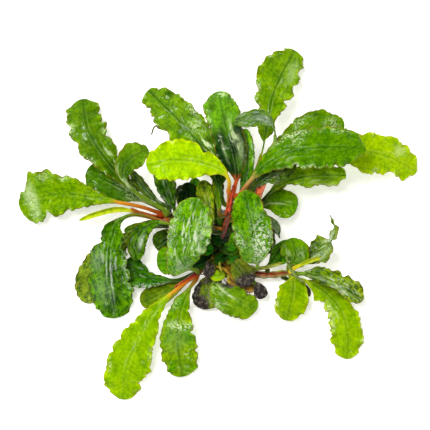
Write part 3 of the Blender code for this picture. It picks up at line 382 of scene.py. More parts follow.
LEAVES["south_east_shoot"] = [
    leaf("centre_right_leaf", [(14.6, -18, 5.7), (16, -17, 11), (15.6, -13.6, 17), (14.6, -7, 22.6),
         (13.2, 2, 25.8), (10.6, 13.2, 26.4)], 0.22, 15.4, ("grown", "5C9503", "447C01", *GREEN),
         widest=0.5, cup=-0.08, ruffle=0.6, waves=7, narrow=0.75, fade=(0.15, 0.5), turning=(0.2, 0.9),
         rib=(0.75, 0.35, 0.2), left=[(0.5, 0.5, 1), (0.3, 0.5, 0.8), (0.1, -1.8, 4)],
         right=[(0.33, -0.6, 1.6), (0.74, 1.2, 2.4)], streak=[(0.7, 0.3, 6, 3, 0.15)],
         speckle=[(0.34, 0.42, 9.6, 4, 1), (0.4, -0.75, 4.6, 2, 0.65)]),
    leaf("south_east_round_leaf", [(28.6, -16.8, 6.4), (31, -13.6, 9), (30.8, -10, 10.6), (29.6, -5.4, 10)],
         0.2, 11.6, ("smooth", "639501", "4A7401", *GREEN), widest=0.6, cup=0.05, narrow=0.9,
         fade=(0.6, 0.15), rib=(0.5, 0.35, 0.2), left=[(0.08, -2, 3)], right=[(0.85, 1.5, 2.2),
         (0.08, -1.6, 3)], streak=[(0.55, -0.5, 4, 2, 0.35)], speckle=[(0.4, 0.4, 2.4, 1.4, 0.33)]),
    leaf("south_east_side_leaf", [(20, -17.4, 5.2), (23.4, -12.6, 6.4), (27.6, -6.2, 6.4)], 0.2, 6.4,
         ("old", "549A12", "3A780A", *DARK), fade=(0.3, 0.6), rib=(0.5, 0.3, 0.2), left=[(0.85, 1.2, 3)],
         right=[(0.4, -2.5, 5), (0.9, 1, 2.4)]),
    leaf("curled_leaf", [(30.4, -17.4, 5.4), (35, -14.6, 7.4), (40, -11.2, 9), (44.8, -7.2, 10.4),
         (46.8, -2.6, 12), (44.8, 3.6, 12)], 0.14, 11, ("grown", "6E9024", "46640E", *GREEN), widest=0.46,
         roll=-8, twist=-62, ruffle=0.8, waves=7, fade=(0.7, 0.25), rib=(0.3, 0.3, 0.15),
         left=[(0.28, 0.4, 1.4), (0.42, -0.8, 2.4), (0.58, 3, 1.4), (0.84, 4, 6.5), (0.72, -1, 0.8)],
         right=[(0.36, -0.9, 2), (0.6, 3.6, 1.8), (0.84, 2.8, 6), (0.8, -1.2, 1), (0.92, -0.8, 0.8)],
         film=[(0.3, 0.4, 6, 1.6, 0.5), (0.6, -0.4, 4, 0.8, 0.8)], streak=[(0.3, 0, 8, 3, 0.6),
         (0.8, 0, 4, 1.2, 0.5)]),
    leaf("south_east_rolled_leaf", [(30.6, -17.6, 7.4), (35, -15.4, 9.2), (39.4, -13.8, 10.2),
         (43, -13.2, 10.4)], 0.3, 1.7, ("young", "A8B41C", "90A018", "D0BC20", "D4CC20"), widest=0.4,
         cup=0.8, ruffle=0, waves=3, fade=(0.2, 0.2)),
    leaf("south_east_dark_leaf", [(30.6, -19.8, 5.4), (36, -19.8, 8.2), (42.6, -21.4, 9.6),
         (50, -24.6, 8.6), (58.2, -30.4, 5)], 0.14, 9.6, ("old", "7A9A12", "40640A", *GREEN), widest=0.6,
         cup=0.08, roll=-18, ruffle=0.7, waves=7, narrow=1, fade=(0.7, 0.15), rib=(0.5, 0.3, 0.15),
         left=[(0.2, -1.1, 3), (0.38, 0.5, 0.6), (0.57, 1.5, 0.9), (0.72, 0.8, 0.7), (0.83, -0.9, 2)],
         right=[(0.5, 1.5, 8)], film=[(0.5, 0.35, 9, 0.5, 0.4)], streak=[(0.55, 0.1, 11, 2.4, 0.8)]),
    leaf("south_east_long_leaf", [(29.8, -21.2, 3.6), (36, -23, 4), (43.6, -27.6, 4.6), (48.6, -33.2, 5),
         (51.4, -40.6, 4.4), (52.4, -47.6, 2.8), (51.8, -54, 0.8)], 0.16, 12.8,
         ("young", "8DB403", "6F9A02", *LIME), widest=0.6, cup=-0.05, ruffle=0.9, waves=8, narrow=0.9,
         fade=(0.5, 0.15), rib=(0.45, 0.4, 0.1), left=[(0.47, 1.2, 2.4), (0.66, 0.8, 1.4), (0.83, -0.6, 1),
         (0.885, 0.9, 0.7)], right=[(0.17, -1.6, 1.8), (0.28, 1.5, 1.2), (0.42, 1.3, 1.2), (0.52, 1.1, 0.8),
         (0.62, 0.4, 0.6), (0.8, -1.2, 2.6), (0.95, -1.4, 1.6)], film=[(0.5, 0.75, 5, 0.9, 0.3)],
         streak=[(0.45, 0.3, 6, 1.2, 0.25)], speckle=[(0.36, 0.7, 2.4, 1.4, 0.59),
         (0.6, 0.8, 2.4, 0.9, 0.59)]),
    leaf("algae_scrap_leaf", [(26.4, -21.2, 2.4), (30, -23, 1.5), (34.6, -25.6, 1.5), (37, -29, 1)], 0.3,
         3.6, ("algae", "4A4A1C", "2A2A14", *DARK), ruffle=0.2, waves=3, crust=[(0.66, 0, 3.6, 4, 1)]),
    leaf("south_east_lime_leaf", [(29.8, -21, 4.8), (30.4, -24, 5.6), (29.8, -30, 5.4), (28.6, -35, 4.2),
         (28, -38.6, 2.8)], 0.05, 12.6, ("young", "83A802", "669001", *LIME), widest=0.56, cup=0.08,
         ruffle=0.5, waves=6, narrow=0.6, fade=(0.3, 0.2), rib=(0.5, 0.4, 0.1), left=[(0.1, -0.9, 3),
         (0.42, -0.5, 2), (0.86, 1, 1.6)], right=[(0.14, -1, 3), (0.9, 0.8, 0.8)],
         speckle=[(0.7, 0.85, 2.4, 0.8, 0.59)]),
]
LEAVES["east_shoot"] = [
    leaf("leaf_behind_centre_right", [(12.2, 0.8, 8.2), (15.4, -0.8, 9), (18.6, -5, 10.4),
         (17.4, -12.6, 10)], 0.2, 9, ("old", "3E6A16", "244A08", *DARK), widest=0.5, cup=0.05, ruffle=0.4,
         narrow=0.9, fade=(0.7, 0.5), rib=(0.5, 0.3, 0.2), streak=[(0.5, -0.5, 5, 2, 0.3)]),
    leaf("pointed_small_leaf", [(15.2, 3.6, 8.4), (19.4, 3, 8.8), (22.8, -0.4, 9), (25, -5.6, 7.6)], 0.3, 4,
         ("old", "7A9468", "3E5A28", *DARK), cup=0.2, waves=3, left=[(0.9, 1.2, 2.4)],
         right=[(0.9, 1.2, 2.4)], streak=[(0.6, 0, 6, 1.8, 0.5)]),
    leaf("east_lime_leaf", [(15.8, 10, 9.6), (18.6, 17, 11), (24.6, 23.6, 12), (34, 28, 13.4),
         (46, 29.8, 13.6), (57.4, 29.2, 12), (69, 26.4, 7.4), (79.8, 20.8, 1)], 0.4, 15,
         ("young", "9AC000", "81AA00", "B8441C", "B08A2A"), cup=0, ruffle=1, waves=9, narrow=1.2,
         fade=(0.4, 0.12), rib=(0.3, 0.3, 0.15), left=[(0.51, -0.9, 1.6), (0.575, 0.7, 0.7),
         (0.67, -0.7, 1.8), (0.85, 0.7, 1)], right=[(0.5, -1.6, 5), (0.6, 0.9, 0.8), (0.78, 2.2, 2.6),
         (0.92, -0.8, 1), (0.965, 1, 0.7)], film=[(0.76, -0.6, 2.4, 1.6, 0.4)],
         streak=[(0.72, -0.4, 5, 1.6, 0.35)], speckle=[(0.6, 0.8, 2, 0.8, 0.45)]),
    leaf("east_dark_leaf", [(17.4, 8.4, 8.8), (23, 14.2, 9.2), (31, 17.8, 9.4), (41, 19.4, 9),
         (51.4, 19, 6.6)], 0.18, 9.4, ("smooth", "91C105", "619402", *DARK), widest=0.6, roll=-24,
         ruffle=0.7, waves=7, narrow=1, fade=(0.5, 0.3), rib=(0.8, 0.35, 0.2), left=[(0.38, -0.7, 4),
         (0.6, 0.6, 0.8), (0.97, -1.6, 1.6)], right=[(0.27, 1.8, 3), (0.51, -0.9, 1.2), (0.59, 0.7, 0.8),
         (0.83, -0.9, 2.4), (0.94, 1, 1.2)], streak=[(0.65, 0.4, 10, 2.4, 0.3)],
         speckle=[(0.75, 0.85, 6, 0.7, 0.52)]),
    leaf("east_oval_leaf", [(17.2, 7, 6.6), (21, 8.6, 7), (26.2, 8.6, 7), (32.2, 7.6, 5)], 0.12, 11,
         ("smooth", "69A004", "467A02", *YELLOW), cup=0.18, ruffle=0.2, narrow=1, fade=(0.5, 0.3),
         rib=(0.35, 0.25, 0.15), left=[(0.78, 0.8, 3)], right=[(0.68, -0.6, 4)],
         film=[(0.35, 0.1, 5, 0.3, 0.9)], streak=[(0.5, -0.1, 6, 1.2, 0.45)]),
]
LEAVES["crown_stem"] = [
    leaf("young_top_leaf", [(4.6, 12.6, 24), (4.6, 17.2, 28), (1.8, 21, 30.4), (-4, 23.4, 31.6),
         (-11, 24.8, 31.6), (-19, 25, 30), (-27.6, 22.6, 27)], 0.2, 16.4,
         ("young", "97C101", "84AF01", "C04A1C", "C8B41C"), widest=0.64, cup=0.06, ruffle=1, waves=7,
         fade=(0.15, 0.1), rib=(0.45, 0.3, 0.1), left=[(0.6, 1, 1), (0.3, 0.6, 1), (0.78, 0.8, 0.9),
         (0.45, 0.6, 0.7)], right=[(0.35, 2.2, 1.2), (0.84, 1.6, 5)], streak=[(0.86, -0.1, 3, 2.4, 0.3),
         (0.38, 0.1, 3.6, 1.2, 0.4)]),
    leaf("north_north_west_leaf", [(2.6, 8, 18.6), (1, 14.6, 21), (-2.4, 24, 21), (-7.4, 32, 19),
         (-13.6, 39.4, 15.4), (-20.6, 46.6, 10.6), (-27.4, 53.4, 5.4)], 0.12, 15.8,
         ("smooth", "5F8A02", "244C08", "3A4A10", "2E5A10"), widest=0.56, cup=-0.08, ruffle=1, waves=8,
         narrow=1.2, fade=(1, 0.1), turning=(0.1, 0.62), rib=(0.9, 0.4, 0.15), left=[(0.44, 1.6, 2),
         (0.63, 1.8, 2), (0.72, -1, 1), (0.8, 0.8, 0.8), (0.88, 1.2, 0.8), (0.97, -2, 1.6)],
         right=[(0.17, -3.4, 8), (0.42, 0.6, 0.8), (0.6, 0.4, 0.7), (0.95, 0.8, 1)],
         streak=[(0.3, 0.42, 10, 2.6, 0.8), (0.3, -0.16, 7, 0.7, 0.8)], speckle=[(0.5, 0.5, 4, 2.4, 0.45),
         (0.62, 0.85, 3, 1, 0.6)]),
    leaf("north_round_leaf", [(6.6, 13.4, 23.4), (7.8, 19, 25.4), (6.8, 27, 25.2), (4.4, 35, 22.6),
         (2.2, 44, 18), (0.6, 52.6, 12.4)], 0.1, 13.4, ("smooth", "5A900A", "10300B", "C84A22", "C8541E"),
         widest=0.76, cup=-0.1, ruffle=0.6, waves=6, narrow=1.2, fade=(1, 0.05), turning=(0.42, 0.72),
         rib=(0.7, 0.35, 0.12), left=[(0.26, -3, 7.5), (0.86, -0.7, 4)], right=[(0.28, -1.6, 7),
         (0.88, 0.8, 3)], film=[(0.52, 0.26, 6, 0.5, 0.65), (0.34, 0.55, 6, 1.4, 0.3),
         (0.36, -0.5, 7, 0.5, 0.3)], streak=[(0.42, 0.36, 9, 2, 0.55)],
         speckle=[(0.95, 0.3, 1.2, 3.4, 0.59), (0.7, -0.85, 3, 0.8, 0.45)]),
    leaf("silver_twisted_leaf", [(8.6, 5, 16.6), (15.2, 15, 18.2), (20.4, 24.5, 19.4), (22.6, 32, 22.6),
         (22, 38, 27), (17.6, 41.4, 29.4), (12, 41, 29), (6.6, 39.6, 27)], 0.62, 7,
         ("silver", "578126", "3F6909", *PALE), widest=0.5, twist=-20, ruffle=0.4, rib=(0.3, 0.3, 0.2),
         left=[(0.14, 2.8, 5)], right=[(0.14, 2.8, 5)], film=[(0.4, 0, 6, 1.6, 0.3)],
         streak=[(0.5, 0, 10, 3, 0.5)]),
    leaf("north_narrow_leaf", [(8.2, 10.2, 20.6), (10.6, 15.6, 21.6), (11.9, 25, 22), (11, 37.6, 20)], 0.12,
         5.8, ("old", "66A60C", "3A7A04", *DARK), cup=0.15, ruffle=0.4, waves=6, narrow=0.9,
         fade=(0.7, 0.3), rib=(0.6, 0.3, 0.2), streak=[(0.5, 0.3, 9, 1.6, 0.5)],
         speckle=[(0.7, -0.4, 4, 1.4, 0.52)]),
    leaf("north_north_east_leaf", [(7.4, 4.4, 13.2), (13.2, 16, 16), (17.4, 27, 16), (19.6, 38, 15),
         (21.8, 50, 11.6), (26.2, 60.6, 6.4), (31.2, 69.4, 1)], 0.34, 16,
         ("smooth", "699201", "527E01", "A8661C", "A8A020"), widest=0.72, cup=0.06, ruffle=1.1, waves=9,
         narrow=1.5, blunt=3, fade=(0.45, 0.2), rib=(0.75, 0.35, 0.15), left=[(0.12, 2, 3),
         (0.42, 1.5, 1.6), (0.55, 1.1, 1), (0.7, -1.4, 5), (0.93, 2, 1.4), (0.86, 0.6, 0.7)],
         right=[(0.12, 2.5, 4), (0.34, 1.9, 3), (0.51, 2, 1.2), (0.68, 2, 2), (0.83, 2.2, 2.2),
         (0.93, 1, 1.2)], film=[(0.8, 0.5, 5.5, 1.8, 0.25)], streak=[(0.7, 0.4, 7, 2.4, 0.25)],
         speckle=[(0.58, -0.88, 1.4, 1, 0.59), (0.46, -0.88, 1.2, 0.8, 0.52)]),
    leaf("north_east_back_leaf", [(7.6, 2.6, 11), (15.4, 14.4, 13.4), (21.4, 24, 15), (26.6, 31.4, 18),
         (33.6, 36.6, 19), (42, 38.8, 18), (50.4, 38.4, 14.6)], 0.42, 12.6,
         ("smooth", "5A8901", "487700", *GREEN), widest=0.5, cup=0.05, ruffle=0.9, waves=8, narrow=0.9,
         fade=(0.5, 0.15), rib=(0.3, 0.3, 0.1), left=[(0.38, 2.2, 5), (0.55, 0.5, 0.8), (0.74, -0.8, 2),
         (0.96, -0.8, 1.4)], speckle=[(0.55, -0.6, 4, 1.4, 0.59), (0.85, -0.2, 3.4, 2, 0.45)]),
    leaf("east_north_east_leaf", [(8.6, 11.4, 22.4), (12.6, 16.6, 25.4), (19, 23.2, 28), (27, 27.6, 29.4),
         (37, 29.6, 29.6), (48, 30.2, 27.6), (58.4, 29.4, 24)], 0.16, 16,
         ("smooth", "598D01", "3D7001", "B8501C", "A88A4A"), cup=-0.08, ruffle=1, waves=9, narrow=1.2,
         blunt=3, fade=(0.6, 0.25), rib=(0.5, 0.25, 0.12), left=[(0.4, -0.6, 2), (0.62, 0.6, 0.9),
         (0.8, 0.7, 0.9), (0.97, 1, 1.5)], right=[(0.4, 1.6, 1.6), (0.55, 0.7, 0.9), (0.75, 0.8, 1),
         (0.93, 1.5, 2)], streak=[(0.35, 0.1, 12, 4, 0.18)], speckle=[(0.42, -0.85, 7, 0.9, 0.7),
         (0.46, -0.5, 2.4, 1.6, 0.5), (0.75, -0.85, 5, 0.8, 0.6), (0.5, 0.9, 8, 0.7, 0.6)]),
    leaf("folded_dark_leaf", [(9.2, 7.2, 18.8), (15, 14.4, 21.4), (22.4, 19.4, 22.8), (31, 24, 23.4)], 0.2,
         8, ("old", "587414", "2C5606", *GREEN), cup=0.15, roll=14, ruffle=0.6, waves=5, fade=(0.6, 0.4),
         rib=(0.6, 0.3, 0.12), right=[(0.25, 2.5, 4), (0.45, 1.5, 2)], streak=[(0.3, -0.2, 6, 1.8, 0.3)],
         speckle=[(0.5, 0.3, 6, 2, 0.3)]),
    leaf("inner_narrow_leaf_1", [(-1.4, -3.2, 12.2), (-2.4, 3.4, 14.6), (-5.8, 17.4, 16.4)], 0.2, 4.8,
         ("old", "9ABA1E", "5A8210", *DARK), cup=0.15, waves=5, fade=(0.7, 0.2), rib=(0.5, 0.3, 0.3),
         left=[(0.75, -1.5, 4)], right=[(0.75, -1.3, 4)], streak=[(0.5, 0, 6, 1.5, 0.2)]),
    leaf("inner_narrow_leaf_2", [(1.2, 3.4, 17), (0.6, 10, 18), (-0.4, 19.6, 17)], 0.2, 4,
         ("grown", "7BA306", "4D7F02", "5A4A14", "6E5A18"), cup=0.2, waves=5, rib=(0.5, 0.3, 0.2)),
    leaf("inner_small_leaf", [(-0.8, -1.4, 10.6), (-2.6, 5, 11), (-5.6, 12.8, 11)], 0.3, 5,
         ("young", "A8B422", "7E9016", *YELLOW), cup=0.15, ruffle=0.2, fade=(0.2, 0.2),
         rib=(0.3, 0.3, 0.1)),
]

# Leaflets of the young plants that sprout among the roots, too small to have solids of their own:
# number, middle line, width, height and number of the waves, finish, colour and darker colour. Their
# order, as that of the stems and leaves, sets which chance each one gets.
# The near-black colours of the darkest leaflets are partly painted shade, for the shadow deep in the
# plant's middle
SPROUTS = [
    (1, [(2.4, -5.4, 6), (1.4, -2, 9.6), (-1.4, 2.4, 11.4)], 6.4, 0.5, 4, "old", "4E7C20", "26480E"),
    (2, [(4, -7, 6), (1.8, -6.6, 9.8), (-1.8, -5.4, 11)], 5.2, 0.5, 4, "old", "16540A", "0A2C06"),
    (3, [(3.2, -12.4, 5), (1.4, -13.4, 8.6), (-0.8, -15.8, 9.4)], 4.4, 0.4, 3, "old", "286A10", "103A08"),
    (4, [(3.8, -11.6, 5), (6, -12.8, 8.6), (8.2, -15.4, 9)], 4.6, 0.4, 3, "old", "2E7410", "124008"),
    (5, [(2.4, -9.8, 6), (4.8, -9, 10.2), (7.2, -10.2, 11)], 4, 0.4, 3, "old", "3F8A10", "184A0A"),
    (6, [(1.8, -9.6, 6), (-0.6, -8.4, 10), (-3.2, -9.4, 10.6)], 4.2, 0.4, 3, "old", "124A0A", "082406"),
    (7, [(0.4, -1, 8), (-1.6, 3.4, 10), (-2.4, 8, 10)], 3.8, 0.4, 3, "old", "5A8A1C", "2A5A0A"),
    (8, [(5.8, -2.4, 8), (6.2, 1.4, 10), (5.6, 5.4, 11)], 3.4, 0.4, 3, "old", "1E5A0C", "0E3006"),
    (9, [(2, -3.4, 8), (-0.8, -1.8, 11), (-3.4, -2.6, 11)], 3.6, 0.4, 3, "algae", "3A4A20", "2A2A18"),
    (10, [(-8.5, 0.6, 8), (-10.8, 8, 12), (-11.8, 16.6, 12.6)], 9, 0.8, 6, "old", "16360E", "081806"),
    (11, [(0.4, -1.4, 9), (-0.6, 8, 12), (0.8, 18.6, 13)], 5.6, 0.5, 5, "old", "4E6A10", "2A440A"),
    (13, [(-1.4, -12.6, 6), (-5.2, -14.6, 8), (-9.6, -17, 7.6)], 5.6, 0.5, 4, "old", "1C4E0E", "0C2A08"),
    (12, [(4.6, -11.8, 6), (8.4, -13.8, 8), (12.4, -15, 8)], 5.2, 0.4, 4, "old", "3E7410", "1E4A0A"),
]
SPROUT_CRUST = [(0.6, 0, 4, 3, 0.9)]
SPROUT_STALK = 0.15
SPROUT_SEED = 200


def colour(hex_code):
    """An sRGB hex value as linear red, green and blue."""
    shares = [int(hex_code[i:i + 2], 16) / 255 for i in (0, 2, 4)]
    return np.array([c / 12.92 if c <= 0.04045 else ((c + 0.055) / 1.055) ** 2.4 for c in shares])


def smooth_line(points, count):
    """count + 1 points at even distances along a smooth curve through the given ones."""
    marks = [Vector(p) for p in points]
    ends = [marks[0] * 2 - marks[1]] + marks + [marks[-1] * 2 - marks[-2]]
    course = [(after - before).normalized() for before, after in zip(ends, ends[2:])]
    dense = []
    for a, b, way_a, way_b in zip(marks, marks[1:], course, course[1:]):
        reach = (b - a).length / 3
        dense += interpolate_bezier(a, a + way_a * reach, b - way_b * reach, b, CURVE_SAMPLES)[:-1]
    dense.append(marks[-1])
    run = [0.0]
    for a, b in zip(dense, dense[1:]):
        run.append(run[-1] + (b - a).length)
    line = []
    k = 0
    for i in range(count + 1):
        goal = run[-1] * i / count
        while k < len(run) - 2 and run[k + 1] < goal:
            k += 1
        line.append(dense[k].lerp(dense[k + 1], (goal - run[k]) / (run[k + 1] - run[k])))
    return line, run[-1]


def foot_on_stem(stem_line, place):
    """Where a stalk or a fork that leads to a place starts: just clear of the stem's surface."""
    line, radius_start, radius_end = stem_line
    best = None
    for i, (a, b) in enumerate(zip(line, line[1:])):
        near, share = intersect_point_line(place, a, b)
        share = min(1.0, max(0.0, share))
        near = a.lerp(b, share)
        if best is None or (place - near).length < best[0]:
            best = ((place - near).length, near, (i + share) / (len(line) - 1))
    away, near, along = best
    radius = radius_start + (radius_end - radius_start) * along
    return near + (place - near) * ((radius + FIT_GAP) / away)


class Midrib:
    """The middle line of a leaf, read at any share of its length."""

    def __init__(self, points):
        self.line, self.length = smooth_line(points, MIDRIB_SAMPLES)

    def place(self, share):
        x = min(max(share, 0.0), 1.0) * MIDRIB_SAMPLES
        k = min(int(x), MIDRIB_SAMPLES - 1)
        return self.line[k].lerp(self.line[k + 1], x - k)

    def frame(self, share, tilt):
        """The point there, and the leaf's sideways and upward directions, tilted by so many degrees."""
        along = (self.place(share + COURSE_REACH) - self.place(share - COURSE_REACH)).normalized()
        side = along.cross(UP).normalized()
        up = side.cross(along)
        c = math.cos(math.radians(tilt))
        s = math.sin(math.radians(tilt))
        return self.place(share), side * c - up * s, up * c + side * s


def blade_half_width(spec, along):
    """Half the blade's width, from its base at 0 to its tip at 1."""
    full = 0.5 * spec["width"]
    base = min(STALK_RADIUS, full)
    widest = spec["widest"]
    grow = np.clip(along / widest, 0.0, 1.0)
    fall = np.clip((along - widest) / (1 - widest), 0.0, 1.0)
    lower = base + (full - base) * np.sin(0.5 * np.pi * grow) ** spec["narrow"]
    upper = full * np.sqrt(np.maximum(0.0, 1 - fall ** spec["blunt"]))
    return np.where(along < widest, lower, upper)


def step(low, high, value):
    """0 below low, 1 above high, smooth between."""
    t = np.clip((value - low) / (high - low), 0.0, 1.0)
    return t * t * (3 - 2 * t)


def soft_waves(rng, shortest, longest, count):
    """A gentle, irregular bumpiness: a function of two lengths in millimetres, about -1 to 1."""
    parts = []
    for _ in range(count):
        length = rng.uniform(shortest, longest)
        turn = rng.uniform(0, math.pi)
        parts.append((2 * math.pi * math.cos(turn) / length, 2 * math.pi * math.sin(turn) / length,
                      rng.uniform(0, 2 * math.pi)))

    def height(x, y):
        return sum(np.sin(a * x + b * y + c) for a, b, c in parts) / math.sqrt(count)

    return height


def scalloped(rng, run, length):
    """Round lobes with sharp notches between them along an edge: how far in, and how far up, it goes."""
    ends = [0.0]
    while ends[-1] < length:
        ends.append(ends[-1] + rng.uniform(*LOBE))
    ends = np.array(ends)
    depth = np.array([rng.uniform(*LOBE_DEPTH) for _ in ends])
    rise = np.array([rng.uniform(0.4, 1.0) * (1 if i % 2 else -1) for i in range(len(ends))])
    k = np.clip(np.searchsorted(ends, run, side="right") - 1, 0, len(ends) - 2)
    share = (run - ends[k]) / (ends[k + 1] - ends[k])
    cut = (depth[k] + (depth[k + 1] - depth[k]) * share) * np.abs(2 * share - 1) ** 2.0
    bend = rise[k] + (rise[k + 1] - rise[k]) * step(0.0, 1.0, share)
    return cut, bend * RIPPLE_HEIGHT


def keep_above(height, least):
    """A leaf that reaches the surface lies on it, without a crease where it comes down."""
    bend = np.clip((height - least) / CLAMP_SOFTNESS, -40.0, 40.0)
    return np.where(bend > 39, height, least + CLAMP_SOFTNESS * np.log1p(np.exp(bend)))


def ring_faces(rings, count, first=0):
    """The faces of a closed tube: a flat cap, sides, and a fan to one point after the last ring."""
    faces = [tuple(range(first + count - 1, first - 1, -1))]
    for r in range(rings - 1):
        a = first + r * count
        b = a + count
        for i in range(count):
            j = (i + 1) % count
            faces.append((a + i, a + j, b + j, b + i))
    last = first + (rings - 1) * count
    for i in range(count):
        faces.append((last + i, last + (i + 1) % count, last + count))
    return faces


def new_mesh(name, verts, faces):
    """A smooth-shaded mesh from millimetres, kept inside the solid part's box."""
    mesh = bpy.data.meshes.new(name)
    low, high = (np.array(corner) for corner in CAD_BOX)
    mesh.from_pydata(np.clip(verts * MM, low, high).tolist(), [], faces)
    mesh.shade_smooth()
    return mesh


def write_attribute(mesh, name, values):
    """Keeps a colour with its alpha, or else three lengths, for each point, for its material to read."""
    kind, field = ("FLOAT_COLOR", "color") if values.shape[1] == 4 else ("FLOAT_VECTOR", "vector")
    made = mesh.attributes.new(name, kind, "POINT")
    made.data.foreach_set(field, np.ascontiguousarray(values, dtype=np.float32).ravel())


def leaf_mesh(spec, stem_line, seed):
    """The thin wet skin of one leaf, from inside its stem to the blade's tip."""
    rng = random.Random(seed)
    same_side = rng.choice((1.0, -1.0))
    foot = foot_on_stem(stem_line, Vector(spec["midrib"][0]))
    midrib = Midrib([foot] + spec["midrib"])
    stalk = spec["stalk"]
    blade_length = midrib.length * (1 - stalk)
    stalk_steps = max(LEAST_STEPS[0], round(midrib.length * stalk / STALK_STEP))
    blade_steps = max(LEAST_STEPS[1], round(blade_length / BLADE_STEP))
    shares = [stalk * i / stalk_steps for i in range(stalk_steps)]
    shares += [stalk + (1 - stalk) * (1 - (1 - i / blade_steps) ** TIP_CLOSER) for i in range(blade_steps)]
    shares = np.array(shares)
    along = (shares - stalk) / (1 - stalk)
    on_blade = np.clip(along, 0.0, 1.0)
    tilt = spec["roll"] + spec["twist"] * on_blade
    frames = [midrib.frame(s, t) for s, t in zip(shares, tilt)]
    centre, side, up = (np.array([f[k] for f in frames]) for k in range(3))
    run = on_blade * blade_length

    # The edge: broad ruffles as in the solid, fine ripples of its own, scallops and notches
    half = blade_half_width(spec, along)
    blade = np.clip(along / FADE_IN, 0.0, 1.0)
    wave = np.where(along > 0, np.sin(2 * np.pi * spec["waves"] * along), 0.0)
    swell = spec["ruffle"] * np.minimum(1.0, 2 * half / spec["width"]) * blade * RUFFLE_SHARE
    grown = step(0.0, 0.2, along) * np.minimum(1.0, half / WHOLE_LOBES)
    halves = {}
    lifts = {}
    for which, sign in (("left", 1.0), ("right", same_side)):
        cut, bend = scalloped(rng, run, blade_length)
        vary = 0.65 + 0.5 * np.sin(2 * np.pi * (on_blade * rng.uniform(1.3, 2.6) + rng.uniform(0, 1)))
        width = half * (1 + SCALLOP * wave * min(1.0, spec["ruffle"]) * blade)
        width = width + (LOBE_OUT - cut) * grown * min(1.0, 0.4 + spec["ruffle"])
        for at, depth, reach in spec[which]:
            notch = depth * np.exp(-(((along - at) * blade_length) / reach) ** 2)
            width = width - notch * step(0.0, 0.06, along)
        halves[which] = np.maximum(width, np.minimum(half, LEAST_HALF))
        lifts[which] = (spec["cup"] * half * blade, sign * wave * swell * vary,
                        bend * grown * min(1.0, 0.25 + spec["ruffle"]))

    # Places across the leaf, closer together at the midrib and at the edges
    across_count = next(spans for least, spans in ACROSS if spec["width"] > least)
    even = np.linspace(-1, 1, 2 * across_count + 1)
    across = even - 0.5 * np.sin(2 * np.pi * even) / (2 * np.pi)
    ring_u = np.concatenate([across, across[-2:0:-1]])
    face = np.concatenate([np.ones(len(across)), -np.ones(len(across) - 2)])
    face[0] = 0.0
    face[len(across) - 1] = 0.0
    u = ring_u[None, :]
    size = np.abs(u)
    left = u < 0
    half_here = np.where(left, halves["left"][:, None], halves["right"][:, None])
    sideways = u * half_here
    off_rib = np.abs(sideways)
    rise, broad, bend = (np.where(left, lifts["left"][k][:, None], lifts["right"][k][:, None])
                         for k in range(3))
    band = np.exp(-((half_here - off_rib) / RIPPLE_BAND) ** 1.5) * step(0.0, 2.0, off_rib)
    quilt = soft_waves(rng, *QUILT_WAVES)(sideways, run[:, None])
    pucker = soft_waves(rng, *PUCKER_WAVES)(sideways, run[:, None])

    # The cup grows evenly outwards, the broad ruffles mostly near the margin, the scallops only there
    lift = rise * size ** 1.5 + broad * size ** 3.2 + bend * band
    lift = lift + (QUILT * quilt + PUCKER * pucker) * grown[:, None] * np.minimum(1, off_rib / 1.5)
    lift = np.where(off_rib > 0, lift, 0.0)

    # Thickness: a thin lamina, the stalk that runs on as the midrib below, and a channel above
    b = blade[:, None]
    a = on_blade[:, None]
    lamina = LAMINA_HALF * np.sqrt(np.maximum(0.0, 1 - size ** 8)) * b
    sheath = 1 + FOOT_SWELL * np.exp(-(shares[:, None] * midrib.length / SHEATH_LENGTH) ** 2)
    stalk_radius = np.minimum(STALK_RADIUS, half)[:, None] * sheath
    below_rib = stalk_radius * (1 - 0.8 * a ** 0.6)
    above_rib = stalk_radius * (1 - step(0.0, 0.16, along)[:, None])
    core_below = np.sqrt(np.maximum(0.0, 1 - (off_rib / (stalk_radius * (1 - 0.5 * a))) ** 2))
    core_above = np.sqrt(np.maximum(0.0, 1 - (off_rib / stalk_radius) ** 2))
    channel = np.exp(-(off_rib / GROOVE_HALF) ** 2)
    channel = channel - 0.55 * np.exp(-((off_rib - RIDGE_AWAY) / GROOVE_HALF) ** 2)
    channel = GROOVE * b * (1 - 0.6 * a) * channel
    above = lamina + above_rib * core_above - channel
    below = -(lamina + below_rib * core_below)
    sideways = np.where(b > 0, sideways, u * stalk_radius)
    thick = np.where(face > 0, above, below) * np.abs(face)
    places = (centre[:, None, :] + side[:, None, :] * sideways[:, :, None]
              + up[:, None, :] * (lift + thick)[:, :, None])
    least = np.where(face > 0, LEAST_TOP, np.where(face < 0, LEAST_HEIGHT, LEAST_EDGE))
    places[:, :, 2] = keep_above(places[:, :, 2], least[None, :])

    # The first rings go into the stem, as a stalk grows out of it
    back = (centre[0] - centre[1]) / np.linalg.norm(centre[0] - centre[1])
    inside = np.stack([places[0] + back * (ROOTED * k) for k in (1.0, 0.5)])
    rings = np.concatenate([inside, places])
    tip = np.array(midrib.place(1.0))
    tip[2] = max(tip[2], LEAST_EDGE)
    mesh = new_mesh(spec["name"] + "_skin", np.vstack([rings.reshape(-1, 3), tip]),
                    ring_faces(len(rings), rings.shape[1]))
    blotch = soft_waves(rng, *BLOTCH_WAVES)(sideways, run[:, None])
    # Slow waves that say where the raised crimps get a painted glint
    wet = soft_waves(rng, *CREST_GLINT_WAVES)(sideways, run[:, None])
    paint_leaf(mesh, spec, shares, along, u, half_here, face, run, blade_length, blotch, wet,
               bend * band / RIPPLE_HEIGHT)
    return mesh


